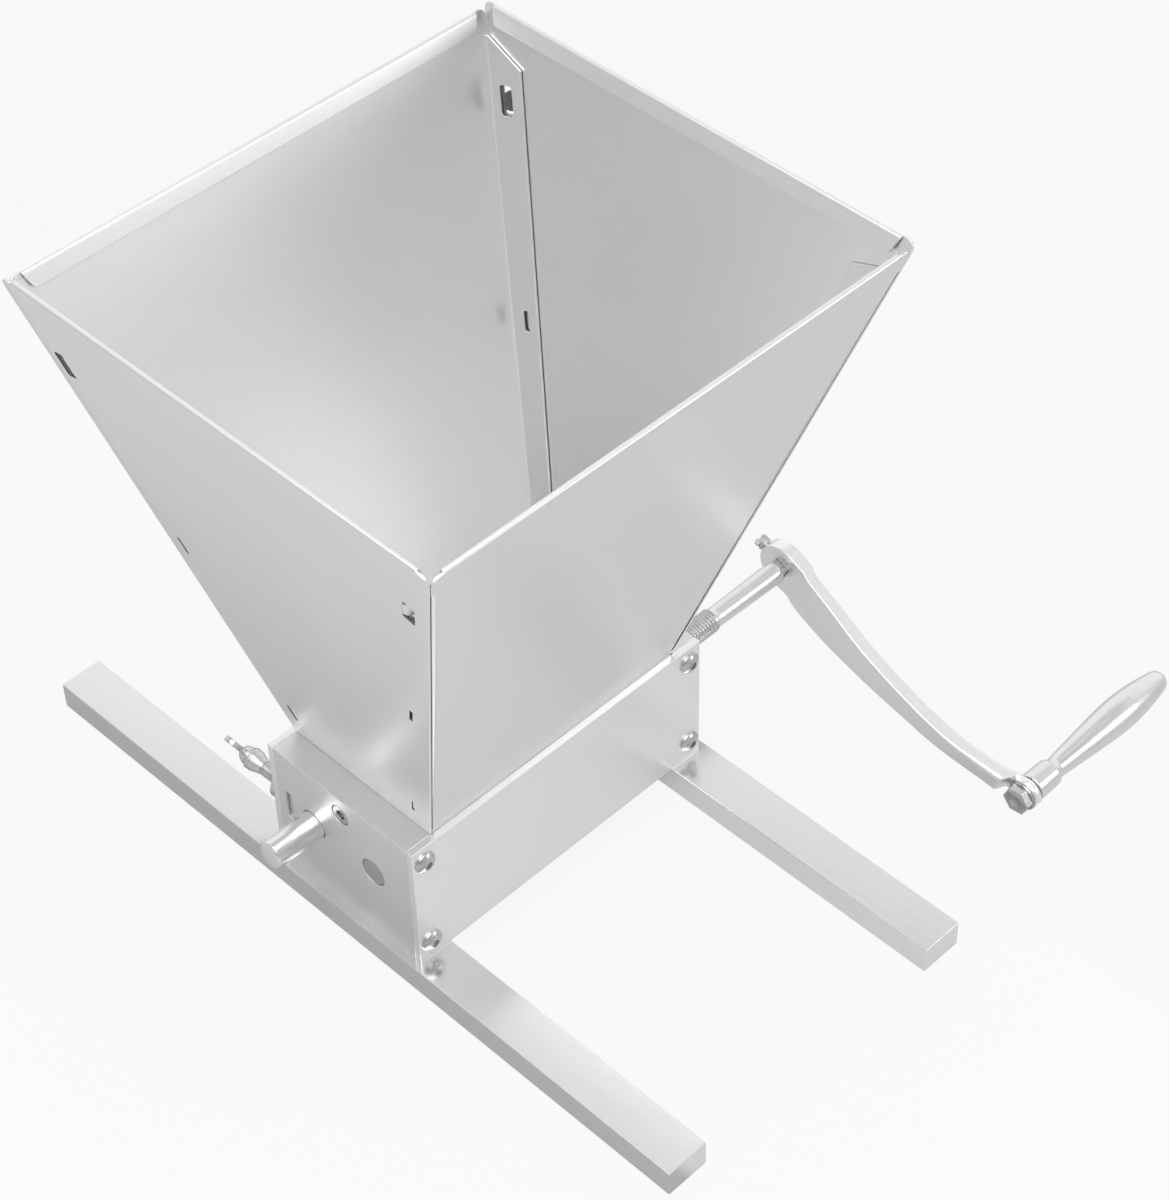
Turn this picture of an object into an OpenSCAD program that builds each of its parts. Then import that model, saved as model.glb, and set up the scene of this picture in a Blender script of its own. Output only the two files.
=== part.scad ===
// Hand cranked two roller malt mill: fluted rollers in a flat plate body that
// lies on two bars, a folded sheet hopper above it and a swept crank beside it.
// X runs along the rollers to the crank, +Y to the back, +Z up. The origin lies
// midway between the two bars, on the plane that they rest on.

/* [Bars] */
// Length of each bar
bar_length = 346; // [260:1:480]
// Width of each bar
bar_width = 19.2; // [15:0.1:26]
// Height of each bar
bar_height = 12.4; // [10:0.1:20]

/* [Body] */
// Length of the body over both end plates
body_length = 152; // [120:1:200]
// Width of the body over both covers
body_width = 80; // [78:1:100]
// Height of the body above the bars
body_height = 62; // [60:1:80]
// Thickness of each end plate
end_plate_thickness = 12; // [11:0.5:16]
// Thickness of the front and back covers
cover_thickness = 3; // [2:0.5:5]

/* [Rollers] */
// Diameter of both rollers
roller_diameter = 32; // [28:0.5:33]
// Gap between the rollers as the mill is set
roller_gap = 1; // [0.6:0.1:1.6]
// Free space at each end of a roller
roller_end_gap = 0.5; // [0.3:0.1:1.2]
// Height of the driven roller's axis above the bars
drive_axis_height = 33.9; // [32:0.1:36]
// Diameter of the driven roller's journals
journal_diameter = 12; // [11:0.5:14]
// Number of flutes around each roller
flute_count = 36; // [24:1:48]
// Depth of each flute
flute_depth = 0.8; // [0.4:0.1:1.1]

/* [Bushes] */
// Wall of the bushes that carry the driven roller
drive_bush_wall = 2; // [1.5:0.1:3]
// Length of the bushes that carry the driven roller
drive_bush_length = 9; // [6:0.5:10]
// Wall of the bushes inside the idler roller
idler_bush_wall = 2; // [1.5:0.1:3]
// Length of the bushes inside the idler roller
idler_bush_length = 14; // [8:0.5:20]

/* [Gap adjusters] */
// Diameter of the adjuster's knob and journal
adjuster_diameter = 12; // [11:0.5:14]
// Length of knob outside the end plate
knob_reach = 22; // [12:0.5:35]
// Diameter of the adjuster's offset pin
offset_pin_diameter = 8; // [6:0.5:8.5]
// Distance from the adjuster's axis to its pin's axis
pin_offset = 1; // [0.5:0.1:1.2]
// Turn of the offset pin from straight down, towards the driven roller
pin_rest_angle = 25; // [5:1:45]

/* [Lock screws] */
// Thread diameter of the lock screws
lock_thread = 6; // [5:0.5:7]
// Distance from the back cover to the collar of a lock screw
lock_collar_reach = 17; // [12:0.5:24]
// Collar diameter of the lock screws
lock_collar_diameter = 9; // [8:0.5:12]
// Span over the two wings of a lock screw
lock_wing_span = 22; // [18:0.5:28]
// Height of the wings over the collar's underside
lock_wing_height = 12.5; // [10:0.5:16]
// Thickness of the wings
lock_wing_blade = 2.3; // [1.6:0.1:3]
// Turn of the wings about the screw from the bar's plane
lock_wing_turn = 62; // [0:1:180]
// Height of the captive lock nut
lock_nut_height = 14; // [10:0.5:16]
// Thickness of the captive lock nut
lock_nut_thickness = 3; // [2:0.1:5]
// Flange diameter of the lock bush on the back cover
lock_flange_diameter = 13; // [12:0.5:16]
// Flange thickness of the lock bush
lock_flange_thickness = 1.75; // [1:0.05:3]

/* [Hopper] */
// Length of the hopper's mouth along the rollers
hopper_mouth_length = 224.2; // [180:0.1:280]
// Width of the hopper's mouth across the rollers
hopper_mouth_width = 209.8; // [160:0.1:260]
// Height of the hopper above the body
hopper_height = 210.2; // [150:0.1:280]
// Drop of the front and back rims below the side rims
cross_rim_drop = 2.3; // [0:0.1:4]
// Thickness of the hopper's sheet
sheet_thickness = 1; // [0.8:0.1:1.2]
// Gap between neighbouring sheets at the corners
sheet_gap = 0.3; // [0.2:0.05:0.5]
// Width of the folded hem along the rim
hem_width = 6; // [4:0.5:10]
// Radius of the panels' top corners
panel_corner_radius = 3; // [2:0.5:6]
// Width of a corner flange at its foot
flange_foot_width = 12; // [10:0.5:14]
// Width of a corner flange at its head
flange_head_width = 18; // [14:0.5:22]
// Depth of the hopper's skirt inside the body
skirt_depth = 4; // [3:0.5:6]
// Reach of the lips that lead the grain onto the rollers
lip_reach = 8; // [4:0.5:9]
// Length of the large lock window near the rim
window_length = 11; // [8:0.5:14]
// Width of the large lock window near the rim
window_width = 5.5; // [4:0.5:6]
// Length of the small lock slits
slit_length = 8; // [5:0.5:10]

/* [Crank] */
// Distance from the drive axis to the handle's axis
crank_radius = 134.5; // [110:0.5:180]
// Fall of the crank arm below the level
crank_angle = 22; // [0:1:360]
// Thread diameter of the crank spindle
spindle_thread = 10.2; // [9:0.1:10.6]
// Length of thread outside the end plate
spindle_thread_reach = 32; // [20:1:45]
// Distance from the end plate to the spindle's shoulder
shoulder_reach = 70; // [60:1:90]
// Spindle diameter next to its thread
shaft_root_diameter = 8.7; // [8:0.1:9.5]
// Spindle diameter at its shoulder
shaft_shoulder_diameter = 9.8; // [9.8:0.1:11]
// Size across the flats of the square tang
tang_size = 6.8; // [5.5:0.1:6.9]
// Length of tang between the shoulder and the arm's hub
tang_bare_length = 2.5; // [2:0.5:8]
// Diameter of the arm's hub
hub_diameter = 21.8; // [20:0.1:27]
// Thickness of the arm's hub
hub_thickness = 6.2; // [6:0.1:9]
// Thickness of the arm
arm_thickness = 6; // [4.5:0.1:6.2]
// Sweep of the arm outwards between its hub and its eye
arm_sweep = 10.2; // [8:0.1:12]
// Diameter of the arm's eye
eye_diameter = 13.4; // [11:0.1:16]
// Thread diameter of the crank's lock screw
crank_lock_thread = 4; // [3:0.5:4]

/* [Handle] */
// Length of the turning grip
grip_length = 86.1; // [65:0.1:110]
// Diameter of the grip's collar
grip_collar_diameter = 12.6; // [11:0.1:15]
// Largest diameter of the grip
grip_diameter = 15.3; // [14:0.1:24]
// Length of the arm's eye along the handle
eye_length = 4.8; // [4:0.1:10]
// Thread diameter of the handle bolt
bolt_thread = 6; // [5:0.5:6]
// Size across the flats of the bolt's head
bolt_head_across = 11; // [9:0.5:12]
// Height of the bolt's head with its flange
bolt_head_height = 5; // [4:0.5:7]

/* [Small screws] */
// Thread diameter of the cover and hopper screws
cover_thread = 5; // [4:0.5:5]
// Head diameter of the cover screws
cover_head_diameter = 9.4; // [8.5:0.1:10.5]
// Head height of the cover screws
cover_head_height = 2.75; // [2:0.05:3.5]
// Distance of the upper cover screws below the body's top
cover_screw_drop = 8; // [7:0.5:12]
// Distance of the lower cover screws above the bars
cover_screw_rise = 9; // [7:0.5:10]
// Distance of the hopper screws below the body's top
hopper_screw_drop = 9; // [8:0.5:10]
// Thread diameter of the bar screws
bar_thread = 6; // [5:0.5:6]
// Distance between the two screws of one bar
bar_screw_spacing = 32; // [24:1:36]

/* [Hidden] */
$fn = 48;

// Radial clearance of a turning fit
running_clearance = 0.05;
// Radial clearance of a piece that stays where it is fitted
seat_clearance = 0.03;
// Free space beyond the end of a screw, pin or bush in its hole
end_clearance = 0.5;
// Overrun of every cut past the face it opens
cut = 1;
// Chamfer on turned ends
turned_chamfer = 0.8;
// Chamfer at the mouth of the bores seen on the end plates
mouth_chamfer = 0.6;
// Inset of a journal's end below the plate's outer face
journal_inset = 0.1;

// Levels and faces of the body
body_floor = bar_height;
body_top = bar_height + body_height;
plate_outer_x = body_length / 2;
plate_inner_x = plate_outer_x - end_plate_thickness;
plate_middle_x = plate_outer_x - end_plate_thickness / 2;
cover_outer_y = body_width / 2;
cover_inner_y = cover_outer_y - cover_thickness;

// Axes of the rollers and of the adjusters
roller_radius = roller_diameter / 2;
roller_end_x = plate_inner_x - roller_end_gap;
drive_y = -(roller_diameter + roller_gap) / 2;
drive_z = body_floor + drive_axis_height;
adjuster_z = drive_z + pin_offset / 2;
idler_z = adjuster_z - pin_offset * cos(pin_rest_angle);
idler_y = drive_y + sqrt(pow(roller_diameter + roller_gap, 2) - pow(idler_z - drive_z, 2));
adjuster_y = idler_y + pin_offset * sin(pin_rest_angle);

// Bushes
drive_bush_diameter = journal_diameter + 2 * drive_bush_wall;
idler_bush_diameter = offset_pin_diameter + 2 * idler_bush_wall;

// Crank thread inside the driven roller
spindle_pitch = 1.5;
spindle_groove = 0.7;
spindle_core = spindle_thread - 2 * spindle_groove;
spindle_depth = 20;
spindle_inner_x = plate_outer_x - spindle_depth;

// Lock screw, nut and bush
lock_axis_z = adjuster_z;
lock_tip_gap = 0.3;
lock_tip_y = adjuster_y + adjuster_diameter / 2 + lock_tip_gap;
lock_collar_y = cover_outer_y + lock_collar_reach;
lock_neck = 5.5;
lock_collar_height = 2.4;
lock_hub_height = 6.5;
lock_lobe_radius = 3.8;
lock_nut_inset = 6.4;
lock_nut_y = cover_inner_y - lock_nut_inset;
lock_nut_depth = 10;
lock_bush_wall = 1.5;
lock_bush_diameter = lock_thread + 2 * lock_bush_wall;
lock_bush_tail = 1.5;
wing_root_share = 0.9;

// Crank lock screw
crank_lock_tip_gap = 0.3;
crank_lock_collar = 6;
crank_lock_stand = 0.7;
crank_lock_neck = 0.6;
crank_lock_collar_height = 1;
crank_lock_hub_height = 1.4;
crank_lock_span = 6.4;
crank_lock_wing_height = 4;
crank_lock_lobe_radius = 1.5;
crank_lock_blade = 1.5;

// Screws
cover_screw_length = 10;
cover_socket = 3;
cover_head_rim = 0.7;
socket_depth = 1.6;
hopper_head_diameter = 8.5;
hopper_head_height = 5;
hopper_sink_depth = 5.2;
sink_clearance = 0.25;
hopper_socket = 4;
hopper_nut_across = 8;
hopper_nut_thickness = 4;
bar_head_diameter = 10;
bar_head_height = 6;
bar_sink_depth = 6.4;
bar_socket = 5;
bar_screw_bite = 12;
bar_screw_places = [-bar_screw_spacing / 2, bar_screw_spacing / 2];
cover_screw_levels = [body_floor + cover_screw_rise, body_top - cover_screw_drop];

// Hopper panels
side_rise = hopper_mouth_length / 2 - plate_inner_x;
side_slant = sqrt(pow(hopper_height, 2) + pow(side_rise, 2));
side_tilt = atan(side_rise / hopper_height);
front_rise = hopper_mouth_width / 2 - cover_inner_y;
front_slant = sqrt(pow(hopper_height, 2) + pow(front_rise, 2));
front_tilt = atan(front_rise / hopper_height);
front_inset = (sheet_thickness + sheet_gap) / cos(side_tilt);
cross_foot_half = plate_inner_x - front_inset;
cross_head_half = cross_foot_half + side_rise * (1 - cross_rim_drop / hopper_height);
cross_slant = front_slant * (1 - cross_rim_drop / hopper_height);
hem_fold_radius = 1.2;
hem_lean = 10;
hem_end_gap = 2;
flange_foot_share = 0.01;
flange_head_share = 0.94;
flange_head_drop = 6;
flange_bite = sheet_thickness / 2;
window_share = 0.846;
slit_shares = [0.075, 0.465];
tab_inset = 9;
tab_clearance = 0.15;
tongue_angle = 42;
lip_edge = sheet_thickness / sqrt(2);
skirt_tongue_width = 16;
skirt_tongue_drop = 13.4;

// Crank arm and handle
shoulder_x = plate_outer_x + shoulder_reach;
hub_inner_x = shoulder_x + tang_bare_length;
hub_outer_x = hub_inner_x + hub_thickness;
tang_clearance = 0.1;
tang_setback = 0.4;
// Stand-off of the arm's inner face from the hub's, as shares of the sweep
arm_sweep_shares = [
    [0, 0.06], [0.03, 0.03], [0.074, -0.1], [0.149, -0.2], [0.223, -0.275], [0.297, -0.34], [0.372, -0.372],
    [0.446, -0.363], [0.52, -0.328], [0.595, -0.27], [0.669, -0.205], [0.743, -0.1], [0.818, 0.1],
    [0.892, 0.319], [0.967, 0.54], [1, 0.62]
];
// Thickness of the arm at shares of its radius, as shares of its least value
arm_thickness_shares = [
    [0, 0.88], [0.15, 0.92], [0.3, 1], [0.6, 1], [0.743, 1.08], [0.818, 1.17], [0.892, 1.28], [1, 1.38]
];
// Half the arm's width at shares of its radius, as shares of the hub's radius
arm_width_shares = [
    [0, 0.93], [0.074, 0.955], [0.149, 0.945], [0.223, 0.9], [0.297, 0.79], [0.372, 0.68], [0.446, 0.62],
    [0.52, 0.54], [0.595, 0.477], [0.669, 0.44], [0.743, 0.413], [0.818, 0.413], [0.892, 0.425],
    [0.967, 0.45], [1, 0.465]
];
arm_stations = 24;
arm_blur_share = 0.03;
spotface_diameter = 15;
spotface_depth = 10;
eye_start_x = hub_inner_x + arm_sweep;
handle_float = 0.2;
bolt_start_x = eye_start_x - handle_float - bolt_head_height;
bolt_flange_height = 1;
bolt_flange_diameter = 13.2;
grip_start_x = eye_start_x + eye_length + handle_float;
bolt_bite = 26;
// Grip radius at shares of its length, as shares of the largest radius
grip_collar_share = 0.149;
grip_collar_taper = 0.3;
grip_radius_shares = [
    [0.151, 0.68], [0.164, 0.605], [0.183, 0.6], [0.254, 0.665], [0.335, 0.745], [0.407, 0.82],
    [0.479, 0.885], [0.541, 0.94], [0.599, 0.98], [0.666, 1], [0.721, 0.985], [0.775, 0.94],
    [0.827, 0.88], [0.876, 0.805], [0.916, 0.735], [0.952, 0.665], [0.973, 0.6], [0.989, 0.48],
    [0.996, 0.3]
];

// Value of a table at a place, rounded off between its points
function eased(table, at, blur) =
    (lookup(at - blur, table) + 2 * lookup(at, table) + lookup(at + blur, table)) / 4;

// Half the width between the front and back planes at a height up a side panel
function side_edge(up) = cover_inner_y + front_rise * up / side_slant;

// Turned outline of thread ridges, from one height to another
function ridge_points(from, to, outer, inner, pitch) = [
    for (step = [0 : floor((to - from) / pitch) - 1])
        for (point = [[outer, 0], [inner, 1 / 2]])
            [point[0], from + (step + point[1]) * pitch]
];

// Placing helpers
module facing_x(x, y, z) {
    translate([x, y, z]) rotate([0, 90, 0]) children();
}

module facing_y(x, y, z) {
    translate([x, y, z]) rotate([-90, 0, 0]) children();
}

module on_side(side) {
    mirror([side < 0 ? 1 : 0, 0, 0]) children();
}

module on_face(side) {
    mirror([0, side < 0 ? 1 : 0, 0]) children();
}

// A panel's plane: X across it, Y up its slant, Z out of the hopper
module on_panel(turn, distance, tilt) {
    rotate([0, 0, turn]) translate([0, -distance, body_top]) rotate([90 + tilt, 0, 0]) children();
}

module on_crank() {
    translate([0, drive_y, drive_z]) rotate([crank_angle, 0, 0]) children();
}

module block(low, high) {
    translate(low) cube(high - low);
}

module ring(outer, inner, length) {
    difference() {
        cylinder(d = outer, h = length);
        translate([0, 0, -cut]) cylinder(d = inner, h = length + 2 * cut);
    }
}

module hexagon(across, length) {
    cylinder(d = across / cos(30), h = length, $fn = 6);
}

// Low domed screw with its head on top and its seat at zero
module domed_screw(thread, head, height, rim, socket, length) {
    dome = height - rim;
    dome_radius = (pow(head / 2, 2) + pow(dome, 2)) / (2 * dome);
    difference() {
        union() {
            intersection() {
                cylinder(d = head, h = height);
                translate([0, 0, height - dome_radius]) sphere(r = dome_radius);
            }
            translate([0, 0, -length]) cylinder(d = thread, h = length + height / 2);
        }
        translate([0, 0, height - socket_depth]) hexagon(socket, socket_depth + cut);
    }
}

// Straight headed screw with its head on top and its seat at zero
module cap_screw(thread, head, height, socket, length) {
    difference() {
        union() {
            cylinder(d = head, h = height);
            translate([0, 0, -length]) cylinder(d = thread, h = length + height / 2);
        }
        translate([0, 0, height / 2]) hexagon(socket, height / 2 + cut);
    }
}

// Screw with two wings: its collar starts at zero and its thread runs down
module wing_screw(
    thread, reach, neck, collar, collar_height, hub_height, span, height, lobe, blade
) {
    hub_radius = collar / 2 - turned_chamfer / 2;
    lobe_x = span / 2 - lobe;
    lobe_z = height - lobe;
    slant_in = lobe * sin(45);
    rotate_extrude() polygon(concat(
        [
            [0, -reach], [thread / 2 - turned_chamfer / 2, -reach],
            [thread / 2, turned_chamfer / 2 - reach], [thread / 2, -neck],
            [collar / 2, 0], [collar / 2, collar_height]
        ],
        [
            for (angle = [0 : 15 : 75])
                [hub_radius * cos(angle), collar_height + hub_height * sin(angle)]
        ],
        [[0, collar_height + hub_height]]
    ));
    rotate([90, 0, 0]) linear_extrude(blade, center = true) for (side = [-1, 1]) {
        translate([side * lobe_x, lobe_z]) circle(r = lobe);
        polygon([
            [0, collar_height / 2], [side * (lobe_x + slant_in), lobe_z - slant_in],
            [side * (lobe_x - slant_in), lobe_z + slant_in],
            [0, collar_height + wing_root_share * hub_height]
        ]);
    }
}

// Lean of a panel's side edges from its slant
function edge_lean(foot_half, head_half, slant) = atan((head_half - foot_half) / slant);

// Distance from a panel's top corner to the ends of its rounding
function corner_back_off(lean) = panel_corner_radius / tan((90 - lean) / 2);

// Flat sheet of one panel with rounded top corners
module panel_sheet(foot_half, head_half, slant) {
    lean = edge_lean(foot_half, head_half, slant);
    back_off = corner_back_off(lean);
    translate([0, 0, -sheet_thickness]) linear_extrude(sheet_thickness) {
        polygon([
            [-foot_half, 0], [foot_half, 0],
            [head_half - back_off * sin(lean), slant - back_off * cos(lean)],
            [head_half - back_off, slant], [back_off - head_half, slant],
            [back_off * sin(lean) - head_half, slant - back_off * cos(lean)]
        ]);
        for (side = [-1, 1])
            translate([side * (head_half - back_off), slant - panel_corner_radius])
                circle(r = panel_corner_radius);
    }
}

// Hem folded in along the rim, its free edge leaning away from the sheet
module hem(foot_half, head_half, slant) {
    half = head_half - corner_back_off(edge_lean(foot_half, head_half, slant)) - hem_end_gap;
    translate([-half, 0, 0]) rotate([90, 0, 90]) linear_extrude(2 * half)
        translate([slant - hem_fold_radius, -hem_fold_radius]) {
            circle(r = hem_fold_radius);
            rotate(180 + hem_lean) square([hem_width, hem_fold_radius]);
        }
}

// Flange of a front or back panel that lies inside a side panel
module corner_flange(turn, hand) {
    foot = side_slant * flange_foot_share;
    head = side_slant * flange_head_share;
    low = head - flange_head_drop;
    on_panel(turn, plate_inner_x, side_tilt) mirror([hand < 0 ? 1 : 0, 0, 0]) {
        difference() {
            translate([0, 0, -2 * sheet_thickness - sheet_gap]) linear_extrude(sheet_thickness)
                polygon([
                    [side_edge(foot) - flange_bite, foot], [side_edge(head) - flange_bite, head],
                    [side_edge(low) - flange_head_width, low],
                    [side_edge(foot) - flange_foot_width, foot]
                ]);
            window(2 * tab_clearance);
        }
        for (share = slit_shares) slit_at(share) slit_block(0, 2 * sheet_thickness, 0);
    }
}

// Block of a flange's tab, grown for the slit that it fills
module slit_block(side_gap, depth, over) {
    translate([-sheet_thickness / 2 - side_gap, -slit_length / 2 - side_gap, -depth])
        cube([sheet_thickness + 2 * side_gap, slit_length + 2 * side_gap, depth + over]);
}

module slit_at(share) {
    up = side_slant * share;
    translate([side_edge(up) - tab_inset, up, 0]) rotate(-atan(front_rise / side_slant)) children();
}

// Cut of the large lock window through both sheets
module window(extra) {
    depth = 3 * sheet_thickness + sheet_gap;
    slit_at(window_share) translate([-window_width / 2 - extra, -window_length / 2 - extra, -depth])
        cube([window_width + 2 * extra, window_length + 2 * extra, depth + cut]);
}

// Tongue lanced from a side panel and bent in through the flange's window
module lock_tongue() {
    slit_at(window_share) translate([-window_width / 2, tab_clearance - window_length / 2, 0])
        rotate([0, tongue_angle, 0]) translate([-sheet_thickness / 2, 0, -sheet_thickness])
            cube([window_width, window_length - 2 * tab_clearance, sheet_thickness]);
}

// A side panel of the hopper, between the front and the back panel
module hopper_side_panel(side) {
    tuck = sheet_thickness * sin(side_tilt);
    skirt_half = cover_inner_y - sheet_thickness - sheet_gap;
    skirt_inner_x = plate_inner_x - sheet_thickness;
    color([0.72, 0.72, 0.73]) {
        on_panel(side * 90, plate_inner_x, side_tilt) {
            difference() {
                panel_sheet(cover_inner_y, hopper_mouth_width / 2, side_slant);
                for (hand = [0, 1]) mirror([hand, 0, 0]) {
                    window(0);
                    for (share = slit_shares)
                        slit_at(share) slit_block(tab_clearance, sheet_thickness + cut, cut);
                }
            }
            for (hand = [0, 1]) mirror([hand, 0, 0]) lock_tongue();
            hem(cover_inner_y, hopper_mouth_width / 2, side_slant);
        }
        on_side(side) difference() {
            union() {
                block(
                    [skirt_inner_x, -skirt_half, body_top - skirt_depth],
                    [plate_inner_x, skirt_half, body_top + tuck]
                );
                block(
                    [skirt_inner_x, -skirt_tongue_width / 2, body_top - skirt_tongue_drop],
                    [plate_inner_x, skirt_tongue_width / 2, body_top - skirt_depth / 2]
                );
            }
            facing_x(skirt_inner_x - cut, 0, body_top - hopper_screw_drop)
                cylinder(d = cover_thread + 2 * seat_clearance, h = sheet_thickness + 2 * cut);
        }
    }
}

// The front or the back panel of the hopper, with its two corner flanges
module hopper_cross_panel(side) {
    tuck = sheet_thickness * sin(front_tilt);
    skirt_half = plate_inner_x - sheet_thickness - sheet_gap;
    color([0.8, 0.8, 0.81]) {
        on_panel(side < 0 ? 0 : 180, cover_inner_y, front_tilt) {
            panel_sheet(cross_foot_half, cross_head_half, cross_slant);
            hem(cross_foot_half, cross_head_half, cross_slant);
        }
        corner_flange(90, side);
        corner_flange(-90, -side);
        on_face(side) translate([-skirt_half, 0, body_top]) rotate([90, 0, 90])
            linear_extrude(2 * skirt_half) polygon([
                [cover_inner_y, tuck], [cover_inner_y, -skirt_depth],
                [cover_inner_y - lip_reach, -skirt_depth - lip_reach],
                [cover_inner_y - lip_reach - lip_edge, lip_edge - skirt_depth - lip_reach],
                [cover_inner_y - sheet_thickness, sheet_thickness / 2 - skirt_depth],
                [cover_inner_y - sheet_thickness, tuck]
            ]);
    }
}

// One of the two bars that carry the body
module bar(side) {
    color([0.86, 0.86, 0.87]) on_side(side) difference() {
        block(
            [plate_middle_x - bar_width / 2, -bar_length / 2, 0],
            [plate_middle_x + bar_width / 2, bar_length / 2, bar_height]
        );
        for (y = bar_screw_places) translate([plate_middle_x, y, -cut]) {
            cylinder(d = bar_head_diameter + 2 * sink_clearance, h = bar_sink_depth + cut);
            cylinder(d = bar_thread + 2 * seat_clearance, h = bar_height + 2 * cut);
        }
    }
}

// Screws that hold the bars from below
module bar_screw_set() {
    length = bar_height - bar_sink_depth + bar_screw_bite;
    color([0.6, 0.6, 0.62]) for (side = [-1, 1], y = bar_screw_places)
        translate([side * plate_middle_x, y, bar_sink_depth]) rotate([180, 0, 0])
            cap_screw(bar_thread, bar_head_diameter, bar_head_height, bar_socket, length);
}

// An end plate with the seats of the bushes, the adjuster and all its screws
module end_plate(side) {
    color([0.82, 0.82, 0.83]) on_side(side) difference() {
        block([plate_inner_x, -cover_inner_y, body_floor], [plate_outer_x, cover_inner_y, body_top]);
        facing_x(plate_inner_x - cut, drive_y, drive_z)
            cylinder(d = drive_bush_diameter + 2 * seat_clearance, h = drive_bush_length + cut);
        facing_x(plate_inner_x, drive_y, drive_z)
            cylinder(d = journal_diameter + 2 * running_clearance, h = end_plate_thickness + cut);
        facing_x(plate_inner_x - cut, adjuster_y, adjuster_z)
            cylinder(d = adjuster_diameter + 2 * running_clearance, h = end_plate_thickness + 2 * cut);
        facing_x(plate_outer_x - mouth_chamfer, adjuster_y, adjuster_z)
            cylinder(
                r1 = adjuster_diameter / 2 + running_clearance,
                r2 = adjuster_diameter / 2 + running_clearance + 2 * mouth_chamfer,
                h = 2 * mouth_chamfer
            );
        facing_y(plate_middle_x, adjuster_y, lock_axis_z)
            cylinder(d = lock_thread + 2 * running_clearance, h = cover_outer_y);
        facing_y(plate_middle_x, cover_inner_y - lock_bush_tail - end_clearance, lock_axis_z)
            cylinder(d = lock_bush_diameter + 2 * seat_clearance, h = cover_thickness + lock_bush_tail);
        lock_nut_block(tab_clearance, end_clearance);
        for (z = cover_screw_levels, hand = [-1, 1])
            on_face(hand) facing_y(plate_middle_x, cover_outer_y - cover_screw_length - end_clearance, z)
                cylinder(d = cover_thread + 2 * seat_clearance, h = cover_screw_length + cut);
        for (y = bar_screw_places)
            translate([plate_middle_x, y, body_floor - cut])
                cylinder(d = bar_thread + 2 * seat_clearance, h = bar_screw_bite + end_clearance + cut);
        facing_x(plate_inner_x - cut, 0, body_top - hopper_screw_drop)
            cylinder(d = cover_thread + 2 * seat_clearance, h = end_plate_thickness + 2 * cut);
        facing_x(plate_outer_x - hopper_sink_depth, 0, body_top - hopper_screw_drop)
            cylinder(d = hopper_head_diameter + 2 * sink_clearance, h = hopper_sink_depth + cut);
    }
}

// Space of the captive nut in an end plate, grown for its slot
module lock_nut_block(side_gap, face_gap) {
    block(
        [plate_middle_x - lock_nut_depth / 2 - side_gap, lock_nut_y - lock_nut_thickness / 2 - side_gap,
            lock_axis_z - lock_nut_height / 2 - side_gap],
        [plate_middle_x + lock_nut_depth / 2 + (face_gap > 0 ? end_plate_thickness : 0),
            lock_nut_y + lock_nut_thickness / 2 + side_gap, lock_axis_z + lock_nut_height / 2 + side_gap]
    );
}

module lock_nut(side) {
    color([0.4, 0.4, 0.42]) on_side(side) difference() {
        lock_nut_block(0, 0);
        facing_y(plate_middle_x, lock_nut_y - lock_nut_thickness, lock_axis_z)
            cylinder(d = lock_thread + 2 * running_clearance, h = 2 * lock_nut_thickness);
    }
}

// Flanged bush that guides a lock screw through the back cover
module lock_bush(side) {
    flange_middle = lock_flange_thickness / 2;
    color([0.6, 0.6, 0.62]) on_side(side) difference() {
        union() {
            facing_y(plate_middle_x, cover_outer_y, lock_axis_z)
                cylinder(d = lock_flange_diameter, h = lock_flange_thickness);
            facing_y(plate_middle_x, cover_inner_y - lock_bush_tail, lock_axis_z)
                cylinder(d = lock_bush_diameter, h = lock_bush_tail + cover_thickness + flange_middle);
        }
        facing_y(plate_middle_x, cover_inner_y - lock_bush_tail - cut, lock_axis_z)
            cylinder(d = lock_thread + 2 * running_clearance, h = body_width / 2);
    }
}

module lock_screw(side) {
    color([0.62, 0.62, 0.64]) on_side(side) facing_y(plate_middle_x, lock_collar_y, lock_axis_z)
        rotate(180 - lock_wing_turn) wing_screw(
            lock_thread, lock_collar_y - lock_tip_y, lock_neck, lock_collar_diameter, lock_collar_height,
            lock_hub_height, lock_wing_span, lock_wing_height, lock_lobe_radius, lock_wing_blade
        );
}

// The front or the back cover plate
module cover(side) {
    color([0.87, 0.87, 0.88]) on_face(side) difference() {
        block([-plate_outer_x, cover_inner_y, body_floor], [plate_outer_x, cover_outer_y, body_top]);
        for (x = [-plate_middle_x, plate_middle_x]) {
            for (z = cover_screw_levels)
                facing_y(x, cover_inner_y - cut, z)
                    cylinder(d = cover_thread + 2 * seat_clearance, h = cover_thickness + 2 * cut);
            if (side > 0)
                facing_y(x, cover_inner_y - cut, lock_axis_z)
                    cylinder(d = lock_bush_diameter + 2 * seat_clearance, h = cover_thickness + 2 * cut);
        }
    }
}

module cover_screw_set(side) {
    color([0.5, 0.5, 0.52]) on_face(side)
        for (x = [-plate_middle_x, plate_middle_x], z = cover_screw_levels)
            facing_y(x, cover_outer_y, z) domed_screw(
                cover_thread, cover_head_diameter, cover_head_height, cover_head_rim, cover_socket,
                cover_screw_length
            );
}

// Screws and nuts that hold the hopper's skirts to the end plates
module hopper_screw_set() {
    length = end_plate_thickness - hopper_sink_depth + sheet_thickness + hopper_nut_thickness;
    color([0.5, 0.5, 0.52]) for (side = [-1, 1]) on_side(side)
        facing_x(plate_outer_x - hopper_sink_depth, 0, body_top - hopper_screw_drop)
            cap_screw(cover_thread, hopper_head_diameter, hopper_head_height, hopper_socket, length);
}

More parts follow.
